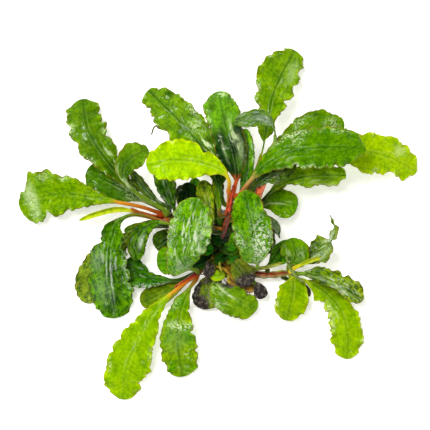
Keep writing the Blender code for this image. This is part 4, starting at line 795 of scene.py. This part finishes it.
def paint_leaf(mesh, spec, shares, along, u, half_here, face, run, blade_length, blotch, wet, crimp):
    """Colours and patches that follow the leaf's own directions, one value for each point."""
    # The tint gets painted light and shade on the crimps, and the marks hold painted sheen and glints
    main, shade, foot, neck = (colour(c) for c in spec["skin"][1:])
    rows = (len(along), u.shape[1])
    on_stalk = np.clip(shares / spec["stalk"], 0.0, 1.0)[:, None, None]
    stalk_tint = foot + (neck - foot) * on_stalk
    at_base, at_tip = spec["fade"]
    darker = at_base + (at_tip - at_base) * step(*spec["turning"], along)[:, None] + BLOTCH * blotch
    blade_tint = main + (shade - main) * np.clip(darker, 0.0, 1.0)[:, :, None]
    # Painted light and shade on the crimps of the edge: lighter where they rise, darker where they sink
    blade_tint = blade_tint * np.clip(1 + CRIMP_LIGHT_AND_SHADE * crimp, 0.4, 1.6)[:, :, None]
    into_blade = step(-0.02, 0.1, along)[:, None, None]
    tint = stalk_tint + (blade_tint - stalk_tint) * into_blade
    marks = np.zeros((*rows, 4))
    u_all = np.broadcast_to(u, rows)
    # Patches of painted sheen, of painted sheen in streaks, of fine painted glints, and of algae
    for k, kind in enumerate(("film", "streak", "speckle", "crust")):
        for at, across, length, width, strength in spec[kind]:
            away = (((along[:, None] - at) * blade_length) / length) ** 2
            away = away + (((u_all - across) * half_here) / width) ** 2
            marks[:, :, k] = np.maximum(marks[:, :, k], strength * np.exp(-away ** 1.5))
    # Painted glints on the raised crimps, in the glints' channel of the marks
    crest_glint = np.clip(2.2 * crimp - 0.7, 0.0, 1.0) * np.clip(1.4 * wet, 0.0, 1.0) * CREST_PAINTED_GLINT
    marks[:, :, 2] = np.maximum(marks[:, :, 2], crest_glint)
    under = np.broadcast_to((face < 0)[None, :], rows)
    marks[:, :, :3] = np.where(under[:, :, None], 0.0, marks[:, :, :3])
    paler = (1 - PALE_UNDER) * tint + PALE_UNDER * tint.mean(axis=2, keepdims=True)
    tint = np.where(under[:, :, None], paler, tint)
    dark, reach, pale = spec["rib"]
    pale_here = pale * (1 - 0.7 * step(0.3, 1.0, along))[:, None] * ~under
    rib = np.stack([np.full(rows, dark), np.full(rows, reach), pale_here, np.ones(rows)], axis=2)
    lie = np.stack([u_all, np.broadcast_to(run[:, None], rows), half_here], axis=2)
    tint = np.dstack([tint, np.ones(rows)])
    for name, values in (("tint", tint), ("marks", marks), ("rib", rib), ("lie", lie)):
        flat = np.concatenate([values[:1], values[:1], values]).reshape(-1, values.shape[2])
        write_attribute(mesh, name, np.vstack([flat, flat[-1]]))


def stem_mesh(name, line, radius_start, radius_end, slim, rounded_start, tints, seed):
    """A knobbly stem of grown-together stalks, with old leaf scars as rings, and a rounded end."""
    rng = random.Random(STEM_SEED + seed)
    points = smooth_line(line, max(8, round(len(line) * LINE_STEP / STEM_RING)))[0]
    points = np.array([tuple(p) for p in points])
    count = len(points)
    share = np.linspace(0, 1, count)
    radius = radius_start + (radius_end - radius_start) * share
    ahead = points[-1] - points[-2]
    ahead = ahead / np.linalg.norm(ahead)
    back = points[0] - points[1]
    back = back / np.linalg.norm(back)
    arc = np.radians(np.arange(10, 90, 10))
    ends = [(points[-1] + ahead * radius_end * math.sin(t), radius_end * math.cos(t)) for t in arc]
    if rounded_start:
        starts = [(points[0] + back * radius_start * math.sin(t), radius_start * math.cos(t)) for t in arc]
    else:
        starts = [(points[0] + back * k, radius_start) for k in (0.8, 1.6)]
    places = np.array([p for p, _ in starts[::-1]] + list(points) + [p for p, _ in ends])
    radii = np.array([r for _, r in starts[::-1]] + list(radius) + [r for _, r in ends])
    run = np.concatenate([[0.0], np.cumsum(np.linalg.norm(np.diff(places, axis=0), axis=1))])
    turn = np.linspace(0, 2 * np.pi, STEM_SIDES, endpoint=False)
    bumps = soft_waves(rng, *KNOB_WAVES)
    swing = rng.uniform(0, 1)
    ringed = run[:, None] / SCAR_SPACING + swing + 0.16 * np.sin(turn[None, :] + run[:, None] * 0.7)
    saw = ringed - np.floor(ringed)
    scar = np.exp(-((saw - 0.5) / SCAR_HALF) ** 2)
    size = radii[:, None] * (0.95 + 0.05 * np.sin(2 * np.pi * saw))
    size = size + SCAR_RISE * scar + KNOBS * bumps(run[:, None], turn[None, :] * radii.mean())
    size = np.minimum(size, radii[:, None] + 0.25) * np.minimum(1, radii[:, None] / 0.5)
    stalks = len(tints)
    place = (turn[None, :] + swing + 0.3 * np.sin(run[:, None] / 5.0)) * stalks / (2 * np.pi)
    if stalks > 1:
        size = size * (1 - STALK_GROOVE * (1 - np.sqrt(np.abs(np.sin(np.pi * place)))))
    rings = cross_sections(places, UP, turn, size * slim)[0]
    tip = rings[-1].mean(axis=0) + ahead * 0.02
    mesh = new_mesh(name + "_skin", np.vstack([rings.reshape(-1, 3), tip]),
                    ring_faces(len(rings), STEM_SIDES))
    t = (run / run[-1])[:, None]
    courses = []
    for first, middle, last in tints:
        first, middle, last = (colour(c) for c in (first, middle, last))
        later = middle + (last - middle) * (2 * t - 1)
        courses.append(np.where(t < 0.5, first + (middle - first) * 2 * t, later))
    which = np.floor(place).astype(int) % stalks
    tint = np.array(courses)[which, np.arange(len(run))[:, None]]
    tint = tint * (1 - SCAR_DARKER * scar[:, :, None])
    flat = np.dstack([tint, scar]).reshape(-1, 4)
    write_attribute(mesh, "tint", np.vstack([flat, flat[-1]]))
    return mesh


def cross_sections(places, toward, turn, reach):
    """Rings of points round a line, and the line's direction at each of its places."""
    course = np.gradient(places, axis=0)
    course /= np.linalg.norm(course, axis=1)[:, None]
    side = np.cross(course, np.array(toward))
    side /= np.linalg.norm(side, axis=1)[:, None]
    up = np.cross(side, course)
    rings = (places[:, None, :] + side[:, None, :] * (np.cos(turn) * reach)[:, :, None]
             + up[:, None, :] * (-np.sin(turn) * reach)[:, :, None])
    rings[:, :, 2] = keep_above(rings[:, :, 2], LEAST_HEIGHT)
    return rings, course


def root_mesh(name, strands):
    """Thin round strands in one mesh, each with its points, its radii at both ends, and its colours."""
    verts = []
    faces = []
    tints = []
    turn = np.linspace(0, 2 * np.pi, ROOT_SIDES, endpoint=False)
    for points, radius_start, radius_end, first, last in strands:
        length = smooth_line(points, CURVE_SAMPLES)[1]
        places = np.array([tuple(p) for p in smooth_line(points, max(4, round(length / ROOT_STEP)))[0]])
        share = np.linspace(0, 1, len(places))[:, None]
        radius = radius_start + (radius_end - radius_start) * share
        rings, course = cross_sections(places, ROOT_TOWARD, turn, radius)
        faces += ring_faces(len(rings), ROOT_SIDES, len(verts))
        verts += list(rings.reshape(-1, 3)) + [rings[-1].mean(axis=0) + course[-1] * radius_end]
        tint = colour(first) + (colour(last) - colour(first)) * share
        tints += [row for row in tint for _ in range(ROOT_SIDES)] + [tint[-1]]
    mesh = new_mesh(name, np.array(verts), faces)
    write_attribute(mesh, "tint", np.column_stack([np.array(tints), np.ones(len(tints))]))
    return mesh


def root_mat_and_shade(name):
    """The low felt of old roots that fills the gap between the stems, lumpy and ragged at its edge."""
    # Its near-black is partly painted shade: this dark felt fills the shadow in the plant's middle
    rng = random.Random(MAT_SEED)
    lumps = soft_waves(rng, *MAT_LUMPS)
    shades = soft_waves(rng, *MAT_SHADES)
    turn = np.linspace(0, 2 * np.pi, MAT_SPOKES, endpoint=False)
    ragged = 1 + 0.07 * np.sin(3 * turn + 1) + 0.05 * np.sin(7 * turn) + 0.05 * np.sin(17 * turn + 2)
    rings = []
    tints = []
    dark, green, brown = (colour(c) for c in MAT_TINTS_WITH_SHADE)
    for k in range(MAT_RINGS):
        out = math.sin(0.5 * math.pi * (MAT_RINGS - k) / MAT_RINGS)
        x = MAT_CENTRE[0] + MAT_REACH[0] * out * ragged * np.cos(turn)
        y = MAT_CENTRE[1] + MAT_REACH[1] * out * ragged * np.sin(turn)
        dome = MAT_HEIGHT * math.sqrt(max(0.0, 1 - out ** 2.4))
        height = 0.3 + dome + 1.1 * lumps(x, y) * min(1.0, dome)
        rings.append(np.stack([x, y, np.maximum(height, LEAST_TOP)], axis=1))
        mix = np.clip(0.5 + 0.8 * shades(x, y), 0, 1)[:, None]
        tints.append(np.where(mix < 0.7, dark + (green - dark) * (mix - 0.35).clip(0, 1) * 1.6, brown))
    top = np.array([[*MAT_CENTRE, rings[-1][:, 2].mean()]])
    mesh = new_mesh(name, np.vstack([np.array(rings).reshape(-1, 3), top]),
                    ring_faces(MAT_RINGS, MAT_SPOKES))
    flat = np.vstack([np.array(tints).reshape(-1, 3), [dark]])
    write_attribute(mesh, "tint", np.column_stack([flat, np.ones(len(flat))]))
    return mesh


def add(tree, kind, settings=None, inputs=(), out=0):
    """Adds a node with its settings, and gives one of its outputs.

    The inputs are values or links, given in the order of the node's sockets or by their names.
    """
    made = tree.nodes.new(kind)
    for key, value in (settings or {}).items():
        setattr(made, key, value)
    for key, value in inputs.items() if isinstance(inputs, dict) else enumerate(inputs):
        if isinstance(value, bpy.types.NodeSocket):
            tree.links.new(value, made.inputs[key])
        else:
            made.inputs[key].default_value = value
    return made.outputs[out]


def per_metre(length):
    """A texture's scale for features of so many millimetres."""
    return 1.0 / (length * MM)


MATH = "ShaderNodeMath"
RANGE = "ShaderNodeMapRange"
MIX = "ShaderNodeMix"
NOISE = "ShaderNodeTexNoise"
TIMES = {"operation": "MULTIPLY"}
MINUS = {"operation": "SUBTRACT"}
LARGER = {"operation": "MAXIMUM"}
TIMES_PLUS = {"operation": "MULTIPLY_ADD"}
OVER = {"operation": "DIVIDE"}
SMOOTH = {"interpolation_type": "SMOOTHSTEP"}
BLEND = {"data_type": "RGBA"}
TINTED = {"data_type": "RGBA", "blend_type": "MULTIPLY"}
MIXED = 2                 # the colour output of a mix node

ALGAE_TINTS = ("302A28", "6E685A")  # of the felt, and of its tufts

# The leaves' finishes: the material's name, the colours of the rim and of the painted sheen and
# glints, how strong the grain, the brown clouds and the net of veins are, how much the grain is drawn
# out along the leaf (lower is more), the roughness, how much clear wet shine there is, and the height
# of the relief
FINISHES = {
    "young": ("young_leaf_thin_wet", "9A9A14", "E4ECA4", 0.24, 0.12, 0.5, 0.7, 0.4, 0.14, 0.12),
    "smooth": ("grown_leaf_smooth_wet", "6E6410", "CCDCA4", 0.4, 0.3, 0.6, 0.45, 0.4, 0.14, 0.16),
    "grown": ("grown_leaf_wet", "6E5210", "CCD8B4", 0.7, 0.45, 0.6, 0.4, 0.4, 0.14, 0.18),
    "old": ("old_leaf_wet", "4C3E0E", "C4D0B8", 0.85, 0.4, 0.5, 0.4, 0.38, 0.18, 0.2),
    "algae": ("leaf_under_algae", "5A5A16", "8A9080", 0.5, 0.5, 0.3, 0.8, 0.5, 0.08, 0.14),
    "silver": ("leaf_underside_silvery", "5E7A1E", "C4C8C8", 0.6, 0.3, 0.3, 0.3, 0.4, 0.3, 0.14),
}


def new_finish(name, values):
    """A material, its nodes and its surface, with the values that are the same all over it."""
    mat = bpy.data.materials.new(name)
    mat.use_nodes = True
    surface = mat.node_tree.nodes["Principled BSDF"]
    for socket, value in values.items():
        surface.inputs[socket].default_value = value
    return mat, mat.node_tree, surface


def leaf_surface(name, rim, film, contrast, rusty, net_share, stretch, roughness, coat, bump):
    """Living leaf tissue under a thin layer of water.

    It gives the eye a grainy, uneven green with a net of darker veins and a thin brown edge, a painted
    grey sheen and painted glints in the patches that its marks give, a painted glow of light along the
    thin margin, and small sharp glints on the crimped margin, partly real gloss on its bumps and partly
    painted.
    """
    mat, tree, surface = new_finish(name, {"IOR": 1.45, "Specular IOR Level": 0.02, "Coat Weight": coat,
                                           "Coat Roughness": 0.12, "Coat IOR": 1.45})
    rim = (*colour(rim), 1.0)
    film = (*colour(film), 1.0)
    body = add(tree, "ShaderNodeAttribute", {"attribute_name": "tint"})
    place = add(tree, "ShaderNodeTexCoord", out="Object")
    marks = add(tree, "ShaderNodeAttribute", {"attribute_name": "marks"}).node.outputs
    patch = add(tree, "ShaderNodeSeparateColor", None, (marks["Color"],)).node.outputs
    rib = add(tree, "ShaderNodeAttribute", {"attribute_name": "rib"})
    rib = add(tree, "ShaderNodeSeparateColor", None, (rib,)).node.outputs
    lie = add(tree, "ShaderNodeAttribute", {"attribute_name": "lie"}, out="Vector")
    parts = add(tree, "ShaderNodeSeparateXYZ", None, (lie,)).node.outputs
    run = parts["Y"]
    half = parts["Z"]
    sideways = add(tree, MATH, TIMES, (parts["X"], half))
    from_rib = add(tree, MATH, {"operation": "ABSOLUTE"}, (sideways,))
    from_edge = add(tree, MATH, MINUS, (half, from_rib))
    on_blade = add(tree, RANGE, SMOOTH, (half, 0.9, 2.0))

    # Uneven green: faint clouds of 4 mm, and grains of 1.1 and 2.2 mm that stand for the finer cells,
    # the first ones drawn out along the leaf
    cloud = add(tree, NOISE, None, {"Vector": place, "Scale": per_metre(4.0), "Detail": 2.0})
    drawn = add(tree, MATH, TIMES, (run, stretch))
    drawn = add(tree, "ShaderNodeCombineXYZ", None, (sideways, drawn, half))
    grain = add(tree, NOISE, None, {"Vector": drawn, "Scale": 1 / 1.1, "Detail": 1.0, "Roughness": 0.5,
                                    "Distortion": 0.4})
    rust = add(tree, NOISE, None, {"Vector": place, "Scale": per_metre(2.2), "Detail": 3.0,
                                   "Roughness": 0.65, "Distortion": 0.5})
    dull = add(tree, MIX, TINTED, {0: 1.0, 6: body, 7: (0.88, 0.93, 0.9, 1.0)}, MIXED)
    rich = add(tree, MIX, TINTED, {0: 1.0, 6: body, 7: (1.12, 1.07, 1.0, 1.0)}, MIXED)
    clear = add(tree, RANGE, SMOOTH, (cloud, 0.35, 0.65))
    body = add(tree, MIX, BLEND, {0: clear, 6: dull, 7: rich}, MIXED)
    brown = add(tree, MIX, TINTED, {0: 1.0, 6: body, 7: (1.18, 0.82, 1.0, 1.0)}, MIXED)
    share = add(tree, RANGE, SMOOTH, (rust, 0.46, 0.6, 0.0, rusty))
    body = add(tree, MIX, BLEND, {0: share, 6: body, 7: brown}, MIXED)
    deep = add(tree, MIX, TINTED, {0: 1.0, 6: body, 7: (0.26, 0.4, 0.4, 1.0)}, MIXED)
    lit = add(tree, MIX, TINTED, {0: 1.0, 6: body, 7: (1.45, 1.3, 1.1, 1.0)}, MIXED)
    share = add(tree, RANGE, SMOOTH, (grain, 0.4, 0.49, contrast, 0.0))
    body = add(tree, MIX, BLEND, {0: share, 6: body, 7: deep}, MIXED)
    share = add(tree, RANGE, SMOOTH, (grain, 0.52, 0.6, 0.0, contrast))
    body = add(tree, MIX, BLEND, {0: share, 6: body, 7: lit}, MIXED)

    # A net of veins: across the blade every 2.1 mm and along it every 2.4 mm, coming and going
    wander = add(tree, MATH, TIMES_PLUS, (cloud, 2.4, run))
    course = add(tree, MATH, TIMES_PLUS, (from_rib, -0.45, wander))
    course = add(tree, MATH, OVER, (course, 2.1))
    cross = add(tree, MATH, {"operation": "PINGPONG"}, (course, 0.5))
    cross = add(tree, RANGE, SMOOTH, (cross, 0.0, 0.18, 1.0, 0.0))
    bent = add(tree, MATH, TIMES_PLUS, (rust, 1.2, from_rib))
    bent = add(tree, MATH, OVER, (bent, 2.4))
    lengthwise = add(tree, MATH, {"operation": "PINGPONG"}, (bent, 0.5))
    lengthwise = add(tree, RANGE, SMOOTH, (lengthwise, 0.0, 0.16, 0.9, 0.0))
    net = add(tree, MATH, LARGER, (cross, lengthwise))
    net = add(tree, MATH, TIMES, (net, on_blade))
    fading = add(tree, RANGE, SMOOTH, (rust, 0.35, 0.6, net_share, 0.2 * net_share))
    share = add(tree, MATH, TIMES, (net, fading))
    body = add(tree, MIX, BLEND, {0: share, 6: body, 7: deep}, MIXED)

    # The midrib: a dark line in a soft dark stripe, and a broken pale ridge on each side in the sheen's
    # colour, partly the ridge's own paler tissue and partly a painted highlight
    away = add(tree, MATH, OVER, (from_rib, rib["Green"]))
    soft = add(tree, RANGE, SMOOTH, (away, 0.6, 5.0, 0.55, 0.0))
    crisp = add(tree, RANGE, SMOOTH, (away, 0.4, 1.2))
    crisp = add(tree, MATH, MINUS, (1.0, crisp))
    line = add(tree, MATH, LARGER, (soft, crisp))
    line = add(tree, MATH, TIMES, (line, rib["Red"]))
    line = add(tree, MATH, TIMES, (line, on_blade))
    body = add(tree, MIX, BLEND, {0: line, 6: body, 7: deep}, MIXED)
    ridge = add(tree, MATH, TIMES_PLUS, (cloud, 0.6, from_rib))
    ridge = add(tree, MATH, {"operation": "COMPARE"}, (ridge, 0.95, 0.15))
    broken = add(tree, RANGE, SMOOTH, (rust, 0.38, 0.58))
    ridge = add(tree, MATH, TIMES, (ridge, rib["Blue"]))
    ridge = add(tree, MATH, TIMES, (ridge, broken))
    body = add(tree, MIX, BLEND, {0: ridge, 6: body, 7: film}, MIXED)

    # The margin: lighter and yellower where it is thin, as a painted glow of light through the thin edge,
    # with a brown rim that comes and goes
    painted_edge_glow = add(tree, MIX, TINTED, {0: 1.0, 6: body, 7: (1.5, 1.2, 0.9, 1.0)}, MIXED)
    margin = add(tree, RANGE, SMOOTH, (from_edge, 0.3, 1.9, 0.55, 0.0))
    margin = add(tree, MATH, TIMES, (margin, on_blade))
    body = add(tree, MIX, BLEND, {0: margin, 6: body, 7: painted_edge_glow}, MIXED)
    reach = add(tree, RANGE, SMOOTH, (rust, 0.35, 0.65, 0.2, 0.6))
    edge = add(tree, MATH, OVER, (from_edge, reach))
    edge = add(tree, RANGE, SMOOTH, (edge, 0.3, 1.2, 0.85, 0.0))
    edge = add(tree, MATH, TIMES, (edge, on_blade))
    body = add(tree, MIX, BLEND, {0: edge, 6: body, 7: rim}, MIXED)

    # Painted sheen in the colour, for the reflections on the wet leaf: in patches, in streaks along the
    # leaf, and in squiggles of 1.3 mm, which stand for finer painted glints
    crinkled = add(tree, NOISE, None, {"Vector": place, "Scale": per_metre(2.0), "Detail": 2.0,
                                       "Roughness": 0.65, "Distortion": 1.4})
    painted_sheen_mask = add(tree, RANGE, SMOOTH, (crinkled, 0.4, 0.56, 0.4, 1.0))
    painted_sheen_mask = add(tree, MATH, TIMES, (patch["Red"], painted_sheen_mask))
    flow = add(tree, MATH, TIMES, (run, 0.17))
    flow = add(tree, "ShaderNodeCombineXYZ", None, (add(tree, MATH, TIMES, (sideways, 0.62)), flow))
    flow = add(tree, NOISE, None, {"Vector": flow, "Scale": 1.0, "Detail": 3.0, "Roughness": 0.65,
                                   "Distortion": 0.6})
    flow = add(tree, RANGE, SMOOTH, (flow, 0.53, 0.6))
    painted_sheen_mask = add(tree, MATH, LARGER, (painted_sheen_mask, add(tree, MATH, TIMES, (patch["Green"], flow))))
    squiggle = add(tree, NOISE, None, {"Vector": place, "Scale": per_metre(1.3), "Detail": 1.0,
                                       "Distortion": 1.5})
    squiggle = add(tree, RANGE, SMOOTH, (squiggle, 0.49, 0.55))
    painted_sheen_mask = add(tree, MATH, LARGER, (painted_sheen_mask, add(tree, MATH, TIMES, (patch["Blue"], squiggle))))
    body = add(tree, MIX, BLEND, {0: painted_sheen_mask, 6: body, 7: film}, MIXED)

    # Algae: a dark crust that leaves the leaf showing in places, with paler tufts
    tufts = add(tree, NOISE, None, {"Vector": place, "Scale": per_metre(1.6), "Detail": 3.0,
                                    "Roughness": 0.7})
    cover = add(tree, MATH, TIMES_PLUS, (tufts, 0.9, marks["Alpha"]))
    cover = add(tree, RANGE, SMOOTH, (cover, 0.6, 1.05))
    tuft_tip = add(tree, RANGE, SMOOTH, (tufts, 0.48, 0.66))
    felt, tuft = ((*colour(c), 1.0) for c in ALGAE_TINTS)
    crust = add(tree, MIX, BLEND, {0: tuft_tip, 6: felt, 7: tuft}, MIXED)
    body = add(tree, MIX, BLEND, {0: cover, 6: body, 7: crust}, MIXED)
    tree.links.new(body, surface.inputs["Base Color"])

    # Shine and relief: the grain and the net all over, and sharp crimps near the margin
    shine = add(tree, RANGE, SMOOTH, (grain, 0.3, 0.7, roughness - 0.08, roughness + 0.08))
    shine = add(tree, MATH, TIMES_PLUS, (cover, 0.35, shine))
    tree.links.new(shine, surface.inputs["Roughness"])
    relief = add(tree, MATH, TIMES_PLUS, (net, -0.25, grain))
    crimp = add(tree, RANGE, SMOOTH, (from_edge, 0.5, 3.2, 1.6, 0.0))
    relief = add(tree, MATH, TIMES_PLUS, (crimp, crinkled, relief))
    relief = add(tree, MATH, TIMES, (relief, on_blade))
    crusty = add(tree, MATH, TIMES, (cover, tufts))
    relief = add(tree, MATH, TIMES_PLUS, (crusty, 3.0, relief))
    relief = add(tree, "ShaderNodeBump", None, {"Strength": 1.0, "Distance": bump * MM, "Height": relief})
    tree.links.new(relief, surface.inputs["Normal"])
    return mat


def stem_surface(name, roughness, dark_share):
    """Stem skin: smooth when young, scarred and corky where leaves have dropped."""
    mat, tree, surface = new_finish(name, {"Roughness": roughness, "IOR": 1.45, "Specular IOR Level": 0.25,
                                           "Coat Weight": 0.4, "Coat Roughness": 0.12, "Coat IOR": 1.4})
    tint = add(tree, "ShaderNodeAttribute", {"attribute_name": "tint"})
    place = add(tree, "ShaderNodeTexCoord", out="Object")
    lumps = add(tree, NOISE, None, {"Vector": place, "Scale": per_metre(1.6), "Detail": 4.0,
                                    "Roughness": 0.6})
    clear = add(tree, RANGE, SMOOTH, (lumps, 0.35, 0.65))
    dark = add(tree, MIX, TINTED, {0: dark_share, 6: tint, 7: (0.42, 0.34, 0.3, 1.0)}, MIXED)
    body = add(tree, MIX, BLEND, {0: clear, 6: dark, 7: tint}, MIXED)
    tree.links.new(body, surface.inputs["Base Color"])
    relief = add(tree, "ShaderNodeBump", None, {"Strength": 1.0, "Distance": 0.12 * MM, "Height": lumps})
    tree.links.new(relief, surface.inputs["Normal"])
    return mat


def tangled_roots(rng):
    """Fine dark roots that wander out from the rhizome, most of them under the plant's middle."""
    # Their dark colours are partly painted shade, for the shadow under the plant's middle
    strands = []
    rhizome = smooth_line(STEMS[0][2], 40)[0]
    for _ in range(ROOT_COUNT):
        start = rhizome[rng.randrange(2, 34)]
        turn = rng.uniform(0, 2 * math.pi)
        height = rng.uniform(*ROOT_START)
        place = Vector((start.x, start.y, height))
        points = [tuple(place)]
        for _ in range(rng.randrange(3, 6)):
            turn += rng.uniform(-ROOT_BEND, ROOT_BEND)
            place = place + Vector((math.cos(turn), math.sin(turn), 0.0)) * rng.uniform(*ROOT_REACH)
            place.z = max(0.5, place.z + rng.uniform(-1.3, 1.1))
            points.append(tuple(place))
        radius = rng.uniform(*ROOT_RADIUS)
        strands.append((points, radius, radius * 0.5, rng.choice(ROOT_TINTS_WITH_SHADE), rng.choice(ROOT_TINTS_WITH_SHADE)))
    return strands


def grow_plant():
    """Every stem and leaf, each in place of its plain solid, and the small strands."""
    skins = {kind: leaf_surface(*finish) for kind, finish in FINISHES.items()}
    stem_skin = stem_surface("stem_skin_wet", 0.38, 0.8)
    lines = {}
    for seed, (name, parent, points, radius_start, radius_end, slim, tints) in enumerate(STEMS):
        if parent:
            points = [tuple(foot_on_stem(lines[parent], Vector(points[0])))] + points
        length = smooth_line(points, CURVE_SAMPLES)[1]
        line = smooth_line(points, round(length / LINE_STEP))[0]
        lines[name] = (line, radius_start, radius_end)
        mesh = stem_mesh(name, line, radius_start, radius_end, slim, parent is None, tints, seed)
        put_in_place(mesh, stem_skin, name)
    rows = [(stem, spec) for stem, leaves in LEAVES.items() for spec in leaves]
    for seed, (stem, spec) in enumerate(rows):
        mesh = leaf_mesh(spec, lines[stem], seed)
        put_in_place(mesh, skins[spec["skin"][0]], spec["name"])
    for seed, (number, midrib, width, ruffle, waves, *skin) in enumerate(SPROUTS):
        spec = leaf(f"sprout_{number}", midrib, SPROUT_STALK, width, (*skin, *DARK), widest=0.6,
                    cup=0.12, ruffle=ruffle, waves=waves,
                    crust=SPROUT_CRUST if skin[0] == "algae" else ())
        mesh = leaf_mesh(spec, lines["crown_stem"], SPROUT_SEED + seed)
        put_in_place(mesh, skins[skin[0]])
    put_in_place(root_mat_and_shade("root_mat_and_shade"), stem_skin)
    put_in_place(root_mesh("fine_roots", tangled_roots(random.Random(ROOT_SEED))), stem_skin)
    for name, strands in SMALL_STRANDS.items():
        put_in_place(root_mesh(name, strands), stem_skin)


def put_in_place(mesh, mat, node=None):
    """Shows a fine mesh, instead of the plain solid of the same piece where there is one."""
    mesh.materials.append(mat)
    piece = bpy.data.objects.new(mesh.name, mesh)
    bpy.context.scene.collection.objects.link(piece)
    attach(piece, "root")
    if node:
        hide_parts(node)


def white_table():
    """A plain matt white table top, lit a little from below as such tables are for cut-out photos."""
    bpy.ops.mesh.primitive_plane_add(size=TABLE_SIDE, location=(0.0, 0.0, 0.0))
    floor = bpy.context.object
    floor.name = "white_table"
    mat = new_finish("opal_acrylic_matt", {
        "Base Color": (*colour("F6F5F2"), 1.0), "Emission Color": (*colour("FFFDF6"), 1.0),
        "Emission Strength": 0.5, "Roughness": 0.9, "Specular IOR Level": 0.1})[0]
    floor.data.materials.append(mat)


def studio_light():
    """Soft light from a bright room all round, dark straight overhead, and soft boxes."""
    world = bpy.data.worlds.new("bright_room")
    bpy.context.scene.world = world
    world.use_nodes = True
    tree = world.node_tree
    background = tree.nodes["Background"]
    way = add(tree, "ShaderNodeTexCoord", out="Generated")
    height = add(tree, "ShaderNodeSeparateXYZ", None, (way,), "Z")
    ramp = add(tree, "ShaderNodeValToRGB", None, (height,)).node
    stops = ramp.color_ramp.elements
    for at, _ in ROOM_GREYS[1:-1]:
        stops.new(at)
    for stop, (_, grey) in zip(stops, ROOM_GREYS):
        stop.color = (grey, grey, grey, 1.0)
    tree.links.new(ramp.outputs[0], background.inputs["Color"])
    background.inputs["Strength"].default_value = ROOM_STRENGTH
    for name, place, size, power, in_gloss in SOFT_BOXES:
        light = bpy.data.lights.new(name, "AREA")
        light.shape = "SQUARE"
        light.size = size
        light.energy = power
        lamp = bpy.data.objects.new(name, light)
        lamp.location = place
        lamp.rotation_euler = (-Vector(place)).to_track_quat("-Z", "Y").to_euler()
        lamp.visible_glossy = in_gloss
        bpy.context.scene.collection.objects.link(lamp)


def camera_above():
    """The photo's view: from straight above, its frame 172 mm wide on the table."""
    data = bpy.data.cameras.new("camera")
    data.sensor_width = SENSOR
    data.lens = SENSOR * CAMERA_HEIGHT / (PIXEL * PHOTO_SIDE)
    data.clip_end = 20.0
    camera = bpy.data.objects.new("camera", data)
    camera.location = (CAMERA_OVER[0] * MM, CAMERA_OVER[1] * MM, CAMERA_HEIGHT * MM)
    bpy.context.scene.collection.objects.link(camera)
    bpy.context.scene.camera = camera


grow_plant()
white_table()
studio_light()
camera_above()
bpy.context.scene.view_settings.view_transform = "Standard"
